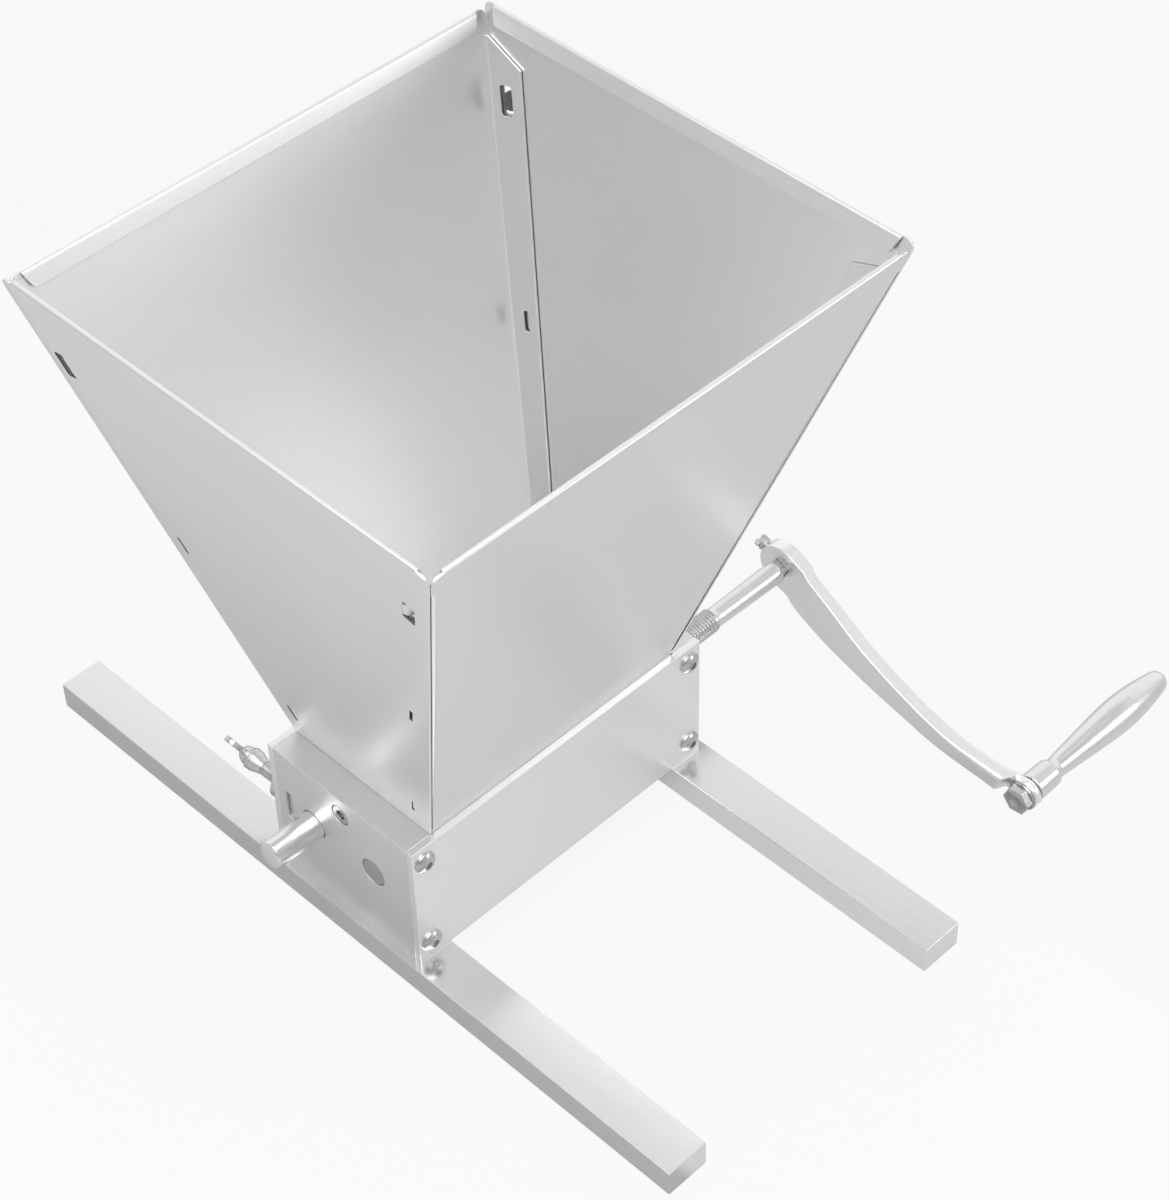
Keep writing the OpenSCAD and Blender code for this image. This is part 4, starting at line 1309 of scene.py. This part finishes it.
@dataclass
class Crank:
    """The threaded spindle, the swept arm on its square tang and the arm's lock screw."""

    drive_axis: Point2 = (-16.5, 46.3)
    angle: float = 22.0
    radius: float = 134.5
    hub_inner_x: float = 148.5
    hub_thickness: float = 6.2
    hub_radius: float = 10.9
    arm_thickness: float = 6.0
    sweep: float = 10.2
    eye_radius: float = 6.7
    eye_inner_x: float = 158.7
    eye_outer_x: float = 163.5
    tang: float = 6.8
    tang_sink: float = 1.0
    tang_inset: float = 0.4
    tang_ease: float = 0.45
    tang_play: float = 0.2
    shoulder_x: float = 146.0
    shaft_shape: tuple[Point2, ...] = (
        (56.0, 0.0), (56.0, 4.4), (106.8, 4.4), (107.4, 4.9), (108.2, 4.36), (111.0, 4.37), (144.9, 4.86),
        (145.6, 4.9), (146.0, 4.45), (146.0, 0.0))
    thread_span: Point2 = (76.05, 107.4)
    thread_radius: float = 5.1
    thread_core: float = 4.38
    thread_pitch: float = 1.5
    lock_gap: float = 0.7
    lock_hole_span: Point2 = (1.0, 15.0)
    lock_hole_radius: float = 2.05
    bolt_hole_span: Point2 = (150.0, 170.0)
    bolt_hole_radius: float = 3.05
    hub_blend: Point2 = (9.5, 13.0)
    hub_width_blend: Point2 = (0.0, 9.0)
    eye_inner_blend: Point2 = (124.5, 127.6)
    eye_outer_blend: Point2 = (120.0, 132.0)
    edge_blend: Point2 = (88.0, 122.0)
    edge_radii: Point2 = (0.5, 2.0)
    edge_width_share: float = 0.9
    edge_depth_share: float = 0.45
    hub_angles: tuple[int, ...] = (6, 14, 24, 36, 50, 66, 80)
    plain_step: float = 3.0
    plain_rings: int = 41
    neck_places: tuple[float, ...] = (
        121.5, 123.0, 124.5, 125.3, 126.1, 126.9, 127.7, 128.5, 129.5, 130.5, 131.5, 132.5, 133.5)
    eye_angles: tuple[int, ...] = (0, 16, 32, 48, 60, 71, 80, 86)
    sweep_table: tuple[Point2, ...] = (
        (0, 0.06), (0.03, 0.03), (0.074, -0.1), (0.149, -0.2), (0.223, -0.275), (0.297, -0.34),
        (0.372, -0.372), (0.446, -0.363), (0.52, -0.328), (0.595, -0.27), (0.669, -0.205), (0.743, -0.1),
        (0.818, 0.1), (0.892, 0.319), (0.967, 0.54), (1, 0.62))
    thickness_table: tuple[Point2, ...] = (
        (0, 0.88), (0.15, 0.92), (0.3, 1), (0.6, 1), (0.743, 1.08), (0.818, 1.17), (0.892, 1.28), (1, 1.38))
    width_table: tuple[Point2, ...] = (
        (0, 0.93), (0.074, 0.955), (0.149, 0.945), (0.223, 0.9), (0.297, 0.79), (0.372, 0.68), (0.446, 0.62),
        (0.52, 0.54), (0.595, 0.477), (0.669, 0.44), (0.743, 0.413), (0.818, 0.413), (0.892, 0.425),
        (0.967, 0.45), (1, 0.465))

    @property
    def place(self) -> Matrix:
        """Placing of the crank about the drive axis."""
        return Matrix.Translation((0, *self.drive_axis)) @ Matrix.Rotation(math.radians(self.angle), 4, "X")

    @property
    def _hub_middle_x(self) -> float:
        """X of the middle of the hub's thickness."""
        return self.hub_inner_x + self.hub_thickness / 2

    def build(self) -> list[bpy.types.Object]:
        """Builds the spindle, the arm and the lock screw.

        Returns:
            The finished pieces.
        """
        place = self.place @ along_y(self._hub_middle_x, self.hub_radius + self.lock_gap, 0)
        lock = WingScrew(
            "crank_lock", place, Seat("crank_clamp", Slot.WING, ("crank_lock_screw",)),
            thread=2.0, core=1.6, pitch=0.7, reach=7.9, neck=0.6, collar=3.0, collar_height=1.0,
            hub_height=1.4, span=6.4, wing_height=4.0, lobe=1.5, blade=1.5, groove=0.1)
        return [self._spindle(), self._arm(), lock.build()]

    def _spindle(self) -> bpy.types.Object:
        """Builds the spindle with its wound thread, plain shaft and square tang.

        Returns:
            The finished piece.
        """
        bm = bmesh.new()
        threaded(bm, *self.thread_span, self.thread_radius, self.thread_core, self.thread_pitch, 48)
        for face in bm.faces:
            face.material_index = 1
        turned(bm, self.shaft_shape, 80)
        tang = bmesh.ops.create_cube(bm, size=1.0)["verts"]
        low = self.shoulder_x - self.tang_sink
        high = self.hub_inner_x + self.hub_thickness - self.tang_inset
        bmesh.ops.transform(
            bm, verts=tang, matrix=Matrix.Translation((0, 0, (low + high) / 2))
            @ Matrix.Diagonal((self.tang, self.tang, high - low, 1)))
        sides = list({edge for vert in tang for edge in vert.link_edges})
        for face in {face for vert in tang for face in vert.link_faces}:
            face.material_index = 2
        bmesh.ops.bevel(
            bm, geom=sides, offset=self.tang_ease, segments=2, profile=0.5, affect="EDGES", material=-1)
        settle(bm, self.place @ along_x(0, 0, 0))
        seat = Seat("crank", Slot.TURNED, ("crank_spindle",))
        return finished("turned_spindle", bm, TURNED_BAR, seat, Softening(0.0), (THREAD_STEEL, TANG_STEEL))

    def _half_width(self, along: float) -> float:
        """Works out the arm's width at a distance from the drive axis.

        Args:
            along: The distance along the arm.

        Returns:
            Half the width there.
        """
        if along < 0:
            return math.sqrt(max(self.hub_radius ** 2 - along ** 2, 0.0))
        plain = self.hub_radius * eased(self.width_table, along / self.radius)
        plain += (self.hub_radius - plain) * (1 - stepped(along, *self.hub_width_blend))
        off = along - self.radius
        if off > 0:
            return math.sqrt(max(self.eye_radius ** 2 - off ** 2, 0.0))
        return max(plain, math.sqrt(max(self.eye_radius ** 2 - off ** 2, 0.0)))

    def _faces(self, along: float) -> Point2:
        """Works out the arm's faces at a distance from the drive axis.

        Args:
            along: The distance along the arm.

        Returns:
            The X of its inner and of its outer face.
        """
        share = max(0.0, along / self.radius)
        inner = self.hub_inner_x + self.sweep * eased(self.sweep_table, share)
        outer = inner + self.arm_thickness * eased(self.thickness_table, share)
        hub = 1 - stepped(along, *self.hub_blend)
        eye_in, eye_out = stepped(along, *self.eye_inner_blend), stepped(along, *self.eye_outer_blend)
        hub_outer_x = self.hub_inner_x + self.hub_thickness
        inner += (self.hub_inner_x - inner) * hub + (self.eye_inner_x - inner) * eye_in
        outer += (hub_outer_x - outer) * hub + (self.eye_outer_x - outer) * eye_out
        return inner, outer

    def _section(self, along: float) -> list[Point3]:
        """Works out the arm's outline, round at its edges, at a distance from the drive axis.

        Args:
            along: The distance along the arm.

        Returns:
            The ring of points round the arm.
        """
        half = self._half_width(along)
        inner, outer = self._faces(along)
        least, most = self.edge_radii
        radius = min(
            least + (most - least) * stepped(along, *self.edge_blend), half * self.edge_width_share,
            (outer - inner) * self.edge_depth_share)
        ring = []
        for sx, sz, start in ((1, 1, 0), (-1, 1, 90), (-1, -1, 180), (1, -1, 270)):
            centre = ((outer if sx > 0 else inner) - sx * radius, sz * (half - radius))
            ring += [(x, -along, z) for x, z in arc(centre, radius, start, start + 90, 4)]
        return ring

    def _arm(self) -> bpy.types.Object:
        """Builds the arm from its round hub end to its eye, with its holes.

        Returns:
            The finished piece.
        """
        hub = [-self.hub_radius * math.cos(math.radians(a)) for a in self.hub_angles]
        plain = [self.plain_step * step for step in range(self.plain_rings)]
        eye = [self.radius + self.eye_radius * math.sin(math.radians(a)) for a in self.eye_angles]
        bm = bmesh.new()
        bridged(bm, [self._section(along) for along in (*hub, *plain, *self.neck_places, *eye)])
        settle(bm, self.place)
        seat = Seat("crank", Slot.FORGED, ("crank_arm",))
        arm = finished("swept_arm", bm, FORGED_ARM, seat, Softening(0.0))
        arm.modifiers.clear()
        carved(arm, [self._tang_cutter, self._bolt_cutter, self._lock_cutter])
        Softening(0.15, 2, 62.0).apply(arm)
        return arm

    def _tang_cutter(self, bm: bmesh.types.BMesh) -> None:
        """Fills a shape with the cutter of the square hole in the hub.

        Args:
            bm: The empty shape.
        """
        verts = bmesh.ops.create_cube(bm, size=1.0)["verts"]
        hole = self.tang + self.tang_play
        grow = Matrix.Diagonal((3 * self.hub_thickness, hole, hole, 1))
        middle = Matrix.Translation((self._hub_middle_x, 0, 0))
        bmesh.ops.transform(bm, matrix=self.place @ middle @ grow, verts=verts)

    def _bolt_cutter(self, bm: bmesh.types.BMesh) -> None:
        """Fills a shape with the cutter of the bolt's hole in the eye."""
        self._drill(bm, self.bolt_hole_span, self.bolt_hole_radius, 48)
        bmesh.ops.transform(bm, matrix=self.place @ along_x(0, -self.radius, 0), verts=bm.verts)

    def _lock_cutter(self, bm: bmesh.types.BMesh) -> None:
        """Fills a shape with the cutter of the lock screw's hole in the hub."""
        self._drill(bm, self.lock_hole_span, self.lock_hole_radius, 40)
        bmesh.ops.transform(bm, matrix=self.place @ along_y(self._hub_middle_x, 0, 0), verts=bm.verts)

    @staticmethod
    def _drill(bm: bmesh.types.BMesh, span: Point2, radius: float, steps: int) -> None:
        """Adds a round drill along local Z between two heights."""
        low, high = span
        turned(bm, [(low, 0), (low, radius), (high, radius), (high, 0)], steps)


@dataclass
class Handle:
    """The turning grip and the flanged bolt that holds it in the arm's eye."""

    place: Matrix
    radius: float
    bolt_x: float = 153.5
    head_height: float = 5.0
    head_across: float = 11.0
    dimple_shape: tuple[Point2, ...] = ((0.7, 0.0), (0.7, 2.0), (0.1, 2.9), (0.0, 3.1))
    chamfer: Point2 = (0.55, 0.9)
    flange_radius: float = 6.6
    flange_height: float = 1.0
    flange_shape: tuple[Point2, ...] = ((0.0, 0.7), (0.15, 0.25), (0.4, 0.0))
    flange_ease: float = 0.1
    shank_radius: float = 3.0
    shank_span: Point2 = (4.5, 36.2)
    shank_ease: float = 0.3
    grip_x: float = 163.7
    length: float = 86.1
    collar: float = 6.3
    collar_shape: tuple[Point2, ...] = ((0.0, 0.5), (0.12, 0.15), (0.5, 0.0))
    collar_length_share: float = 0.149
    collar_taper: float = 0.3
    collar_end_shape: tuple[Point2, ...] = ((1.0, 0.0), (0.35, 0.12), (0.0, 0.6))
    largest: float = 7.65
    rings: int = 44
    blur: float = 0.008
    shape: tuple[Point2, ...] = (
        (0.151, 0.68), (0.164, 0.605), (0.183, 0.6), (0.254, 0.665), (0.335, 0.745), (0.407, 0.82),
        (0.479, 0.885), (0.541, 0.94), (0.599, 0.98), (0.666, 1), (0.721, 0.985), (0.775, 0.94),
        (0.827, 0.88), (0.876, 0.805), (0.916, 0.735), (0.952, 0.665), (0.973, 0.6), (0.989, 0.48),
        (0.996, 0.3))

    def build(self) -> list[bpy.types.Object]:
        """Builds the bolt and the grip.

        Returns:
            The finished pieces.
        """
        return [self._bolt(), self._grip()]

    def _bolt(self) -> bpy.types.Object:
        """Builds the bolt with a chamfered hexagon, a dimple and a round flange.

        Returns:
            The finished piece.
        """
        corner = self.head_across / 2 / math.cos(math.radians(30))
        deep, inset = self.chamfer
        flange, under = self.head_height - self.flange_height, self.head_height
        hexagon_end = flange + self.flange_ease
        bm = bmesh.new()
        turned(bm, [
            *self.dimple_shape, (0.0, corner - inset), (deep, corner), (hexagon_end, corner),
            (hexagon_end, 0.0)], 6)
        turned(bm, [
            (flange, 0.0), *((flange + down, self.flange_radius - back) for down, back in self.flange_shape),
            (under - self.flange_ease, self.flange_radius), (under, self.flange_radius - self.flange_ease),
            (under, 0.0)], 72)
        start, end = self.shank_span
        turned(bm, [
            (start, 0.0), (start, self.shank_radius), (end - self.shank_ease, self.shank_radius),
            (end, self.shank_radius - self.shank_ease), (end, 0.0)], 40)
        settle(bm, self.place @ along_x(self.bolt_x, -self.radius, 0))
        seat = Seat("handle", Slot.SCREW, ("handle_bolt",))
        return finished("flanged_bolt", bm, PLAIN_SCREW, seat, Softening(0.25, 2, 40.0))

    def _grip(self) -> bpy.types.Object:
        """Turns the grip with its collar, its waist and its blunt end.

        Returns:
            The finished piece.
        """
        end = self.length * self.collar_length_share
        tip = self.collar - self.collar_taper
        profile = [(0.0, 0.0), *((along, self.collar - inset) for along, inset in self.collar_shape)]
        profile += [(end - back, tip - inset) for back, inset in self.collar_end_shape]
        first, last = self.shape[0][0], self.shape[-1][0]
        for ring in range(1, self.rings + 1):
            share = first + (last - first) * ring / self.rings
            profile.append((share * self.length, eased(self.shape, share, self.blur) * self.largest))
        profile.append((self.length, 0.0))
        bm = bmesh.new()
        turned(bm, profile, 96)
        settle(bm, self.place @ along_x(self.grip_x, -self.radius, 0))
        seat = Seat("handle", Slot.TURNED, ("grip",))
        return finished("turned_grip", bm, TURNED_BAR, seat, Softening(0.0))


# Studio


def ramp(
    tree: bpy.types.NodeTree, value: bpy.types.NodeSocket, span: Point2, levels: Point2
) -> bpy.types.NodeSocket:
    """Adds a soft step from one level to another.

    Args:
        tree: The node tree.
        value: The socket that drives the step.
        span: The values at which the step starts and ends.
        levels: The levels before and after it.

    Returns:
        The socket with the level.
    """
    step = tree.nodes.new("ShaderNodeMapRange")
    step.interpolation_type = "SMOOTHSTEP"
    step.inputs["From Min"].default_value, step.inputs["From Max"].default_value = span
    step.inputs["To Min"].default_value, step.inputs["To Max"].default_value = levels
    tree.links.new(value, step.inputs["Value"])
    return step.outputs["Result"]


def worked_out(
    tree: bpy.types.NodeTree, operation: str, *values: bpy.types.NodeSocket | float
) -> bpy.types.NodeSocket:
    """Adds a sum, a product or the like.

    Args:
        tree: The node tree.
        operation: The operation's name.
        values: Sockets and numbers, in the operation's order.

    Returns:
        The socket with the result.
    """
    node = tree.nodes.new("ShaderNodeMath")
    node.operation = operation
    for socket, value in zip(node.inputs, values):
        if isinstance(value, float):
            socket.default_value = value
        else:
            tree.links.new(value, socket)
    return node.outputs["Value"]


def coordinates(tree: bpy.types.NodeTree, kind: str) -> bpy.types.NodeOutputs:
    """Returns the X, Y and Z sockets of a kind of texture coordinate.

    Args:
        tree: The node tree.
        kind: The coordinate's name.

    Returns:
        The three sockets.
    """
    place = tree.nodes.new("ShaderNodeTexCoord")
    apart = tree.nodes.new("ShaderNodeSeparateXYZ")
    tree.links.new(place.outputs[kind], apart.inputs["Vector"])
    return apart.outputs


@dataclass(frozen=True)
class SoftLamp:
    """A square lamp that the camera doesn't see, in millimetres and watts."""

    name: str
    at: Point3
    size: float
    energy: float
    faced: Point3 = (0.0, 0.0, 120.0)

    def hang(self) -> None:
        """Hangs the lamp at its place, turned to the point that it faces."""
        data = bpy.data.lights.new(self.name, "AREA")
        data.size = self.size * MM
        data.energy = self.energy
        lamp = bpy.data.objects.new(self.name, data)
        aim = (Vector(self.faced) - Vector(self.at)).to_track_quat("-Z", "Y")
        lamp.matrix_world = Matrix.Translation(Vector(self.at) * MM) @ aim.to_matrix().to_4x4()
        lamp.visible_camera = False
        bpy.context.scene.collection.objects.link(lamp)


@dataclass
class Studio:
    """The camera at the photograph's angle, the soft lamps, the pale table and the pale room."""

    camera_at: Point3 = (-532.8, -610.3, 929.8)
    camera_right: Point3 = (0.6995, -0.7146, -0.0101)
    camera_ahead: Point3 = (0.5014, 0.5008, -0.7055)
    camera_clip: Point2 = (0.01, 20.0)
    sensor_width: float = 36.0
    focal_px: float = 3082.0
    centre_px: Point2 = (630.2, 595.3)
    image: tuple[int, int] = (1169, 1200)
    lamps: tuple[SoftLamp, ...] = (
        SoftLamp("key", (850.0, -1150.0, 560.0), 420.0, 2.0),
        SoftLamp("overhead", (-400.0, -330.0, 1450.0), 1600.0, 23.0))
    wall_level: float = 1.0
    ceiling_level: float = 0.63
    wall_top: Point2 = (0.75, 0.785)
    left_level: float = 0.62
    left_span: Point2 = (-0.7, 0.1)
    front_level: float = 0.65
    front_span: Point2 = (-0.65, -0.05)
    paper_tone: float = 0.42
    eye_share: float = 0.9
    mirror_share: float = 0.42
    clear_share: float = 0.42
    # The painted shadow in the floor's mirror image left of the mill: its level, where it sets in, and where
    # it ends under the left bar.
    painted_shadow_level: float = 0.45
    painted_shadow_span: Point2 = (-0.16, -0.088)
    bar_span: Point2 = (-0.076, -0.064)
    table_size: Point3 = (2600.0, 3200.0, 40.0)
    table_ease: float = 6.0
    table_edge_x: float = 112.0
    floor_half: float = 6000.0
    floor_z: float = -260.0

    def build(self) -> None:
        """Builds the camera, the world, the lamps, the table and the floor."""
        scene = bpy.context.scene
        scene.view_settings.view_transform = "Standard"
        self._camera(scene)
        self._world(scene)
        for lamp in self.lamps:
            lamp.hang()
        self._stage()

    def _camera(self, scene: bpy.types.Scene) -> None:
        """Places the camera from its measured frame.

        Args:
            scene: The scene that it becomes the camera of.
        """
        data = bpy.data.cameras.new("photograph")
        width, height = self.image
        data.sensor_fit = "HORIZONTAL"
        data.sensor_width = self.sensor_width
        data.lens = self.focal_px / width * self.sensor_width
        data.shift_x = (width / 2 - self.centre_px[0]) / width
        data.shift_y = (self.centre_px[1] - height / 2) / width
        data.clip_start, data.clip_end = self.camera_clip
        camera = bpy.data.objects.new("photograph", data)
        ahead = Vector(self.camera_ahead).normalized()
        right = Vector(self.camera_right)
        right = (right - ahead * right.dot(ahead)).normalized()
        up = (-ahead).cross(right)
        turn = Matrix((right, up, -ahead)).transposed().to_4x4()
        camera.matrix_world = Matrix.Translation(Vector(self.camera_at) * MM) @ turn
        scene.collection.objects.link(camera)
        scene.camera = camera

    def _world(self, scene: bpy.types.Scene) -> None:
        """Makes the room's light: white to the camera, with pale walls under a dimmer ceiling.

        Args:
            scene: The scene to light.
        """
        world = bpy.data.worlds.new("studio")
        scene.world = world
        world.use_nodes = True
        tree = world.node_tree
        nodes, links = tree.nodes, tree.links
        out, soft = nodes["World Output"], nodes["Background"]
        towards = coordinates(tree, "Generated")
        level = ramp(tree, towards["Z"], self.wall_top, (self.wall_level, self.ceiling_level))
        left = ramp(tree, towards["X"], self.left_span, (self.left_level, 1.0))
        front = ramp(tree, towards["Y"], self.front_span, (self.front_level, 1.0))
        level = worked_out(tree, "MULTIPLY", worked_out(tree, "MULTIPLY", level, left), front)
        links.new(level, soft.inputs["Strength"])
        white = nodes.new("ShaderNodeBackground")
        for light in (soft, white):
            light.inputs["Color"].default_value = (1, 1, 1, 1)
        seen = nodes.new("ShaderNodeLightPath")
        pick = nodes.new("ShaderNodeMixShader")
        links.new(seen.outputs["Is Camera Ray"], pick.inputs["Fac"])
        links.new(soft.outputs["Background"], pick.inputs[1])
        links.new(white.outputs["Background"], pick.inputs[2])
        links.new(pick.outputs["Shader"], out.inputs["Surface"])

    def _stage(self) -> None:
        """Lays the pale table, whose edge the crank overhangs, and the floor below it."""
        paper = self._paper()
        table = bmesh.new()
        verts = bmesh.ops.create_cube(table, size=1.0)["verts"]
        width, _, thick = self.table_size
        middle = Matrix.Translation((self.table_edge_x - width / 2, 0, -thick / 2))
        bmesh.ops.transform(table, verts=verts, matrix=middle @ Matrix.Diagonal((*self.table_size, 1)))
        bmesh.ops.bevel(
            table, geom=table.edges[:], offset=self.table_ease, segments=4, profile=0.5, affect="EDGES",
            material=-1)
        floor = bmesh.new()
        bmesh.ops.create_grid(floor, x_segments=2, y_segments=2, size=self.floor_half)
        bmesh.ops.translate(floor, vec=(0, 0, self.floor_z), verts=floor.verts)
        for name, bm in (("table", table), ("room_floor", floor)):
            bmesh.ops.transform(bm, matrix=Matrix.Scale(MM, 4), verts=bm.verts)
            mesh = bpy.data.meshes.new(name)
            bm.to_mesh(mesh)
            bm.free()
            mesh.materials.append(paper)
            stage = bpy.data.objects.new(name, mesh)
            bpy.context.scene.collection.objects.link(stage)

    def _paper(self) -> bpy.types.Material:
        """Makes the white surface that keeps a faint shadow, with a painted shadow left of the mill that only
        its mirror image shows.

        Returns:
            The material of the table and the floor.
        """
        made = bpy.data.materials.new("white_paper")
        made.use_nodes = True
        tree = made.node_tree
        nodes, links = tree.nodes, tree.links
        nodes.clear()
        out = nodes.new("ShaderNodeOutputMaterial")
        matt = nodes.new("ShaderNodeBsdfDiffuse")
        matt.inputs["Color"].default_value = (self.paper_tone, self.paper_tone, self.paper_tone, 1)
        glow = nodes.new("ShaderNodeEmission")
        ray = nodes.new("ShaderNodeLightPath").outputs
        share = worked_out(tree, "MULTIPLY", ray["Is Camera Ray"], self.eye_share)
        share = worked_out(tree, "MULTIPLY_ADD", ray["Is Glossy Ray"], self.mirror_share, share)
        share = worked_out(tree, "MULTIPLY_ADD", ray["Is Transmission Ray"], self.clear_share, share)
        # Beside the left bar the glow that metal mirrors is dimmed, a painted shadow; under the bar it is
        # lifted again.
        across = coordinates(tree, "Object")["X"]
        beside = ramp(tree, across, self.painted_shadow_span, (1.0, self.painted_shadow_level))
        under = ramp(tree, across, self.bar_span, (0.0, 1.0))
        level = worked_out(tree, "MAXIMUM", worked_out(tree, "MAXIMUM", ray["Is Camera Ray"], beside), under)
        links.new(level, glow.inputs["Strength"])
        pick = nodes.new("ShaderNodeMixShader")
        links.new(share, pick.inputs["Fac"])
        links.new(matt.outputs["BSDF"], pick.inputs[1])
        links.new(glow.outputs["Emission"], pick.inputs[2])
        links.new(pick.outputs["Shader"], out.inputs["Surface"])
        return made


# The mill


def lock_screws(at: Point3 = (70.0, 57.0, 46.8), turn: float = 118.0) -> list[bpy.types.Object]:
    """Builds the two lock screws at the back.

    Args:
        at: The collar's foot at the right end.
        turn: Turn of its wings in degrees.

    Returns:
        The finished pieces.
    """
    pieces = []
    for side in Side:
        place = mirrored(side) @ along_y(*at) @ Matrix.Rotation(math.radians(turn), 4, "Z")
        name = side.name.lower()
        seat = Seat(f"{name}_lock", Slot.WING, (f"{name}_lock_screw",))
        pieces.append(WingScrew(f"{name}_wing_screw", place, seat).build())
    return pieces


def plain_pieces() -> list[bpy.types.Object]:
    """Builds the bars, plates, bushes, nuts and screws whose CAD shape is right.

    Returns:
        The finished pieces.
    """
    groups = [
        EasedCopies(GROUND_PLATE, Slot.PLATE, ("left_bar", "right_bar"), Softening(0.35, 2)),
        EasedCopies(END_PLATE, Slot.PLATE, ("left_end_plate", "right_end_plate"), Softening(0.3, 2)),
        EasedCopies(COVER_PLATE, Slot.PLATE, ("front_cover", "back_cover"), Softening(0.3, 2)),
        EasedCopies(SINTERED, Slot.BUSH, ("left_drive_bush", "right_drive_bush"), Softening(0.2, 2)),
        EasedCopies(SINTERED, Slot.BUSH, ("left_idler_bush", "right_idler_bush"), Softening(0.2, 2), "idler"),
        EasedCopies(PLAIN_SCREW, Slot.SCREW, (
            "left_lock_nut", "right_lock_nut", "left_lock_bush", "right_lock_bush", "bar_screws",
            "hopper_screws", "hopper_nuts"), Softening(0.2, 2)),
        EasedCopies(PLAIN_SCREW, Slot.SCREW, (
            "front_cover_screws", "back_cover_screws"), Softening(0.12, 2, 30.0)),
    ]
    return [piece for group in groups for piece in group.build()]


def note_sizes() -> None:
    """Updates the view layer."""
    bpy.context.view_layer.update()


def main() -> None:
    """Builds the mill, piece by piece, and then the studio around it."""
    logging.basicConfig(level=logging.INFO, format="%(name)s: %(message)s")
    plain_pieces()
    Hopper().build()
    RollerPair().build()
    GapAdjusters().build()
    lock_screws()
    crank = Crank()
    crank.build()
    Handle(crank.place, crank.radius).build()
    Studio().build()
    note_sizes()


if __name__ == "__main__":
    main()
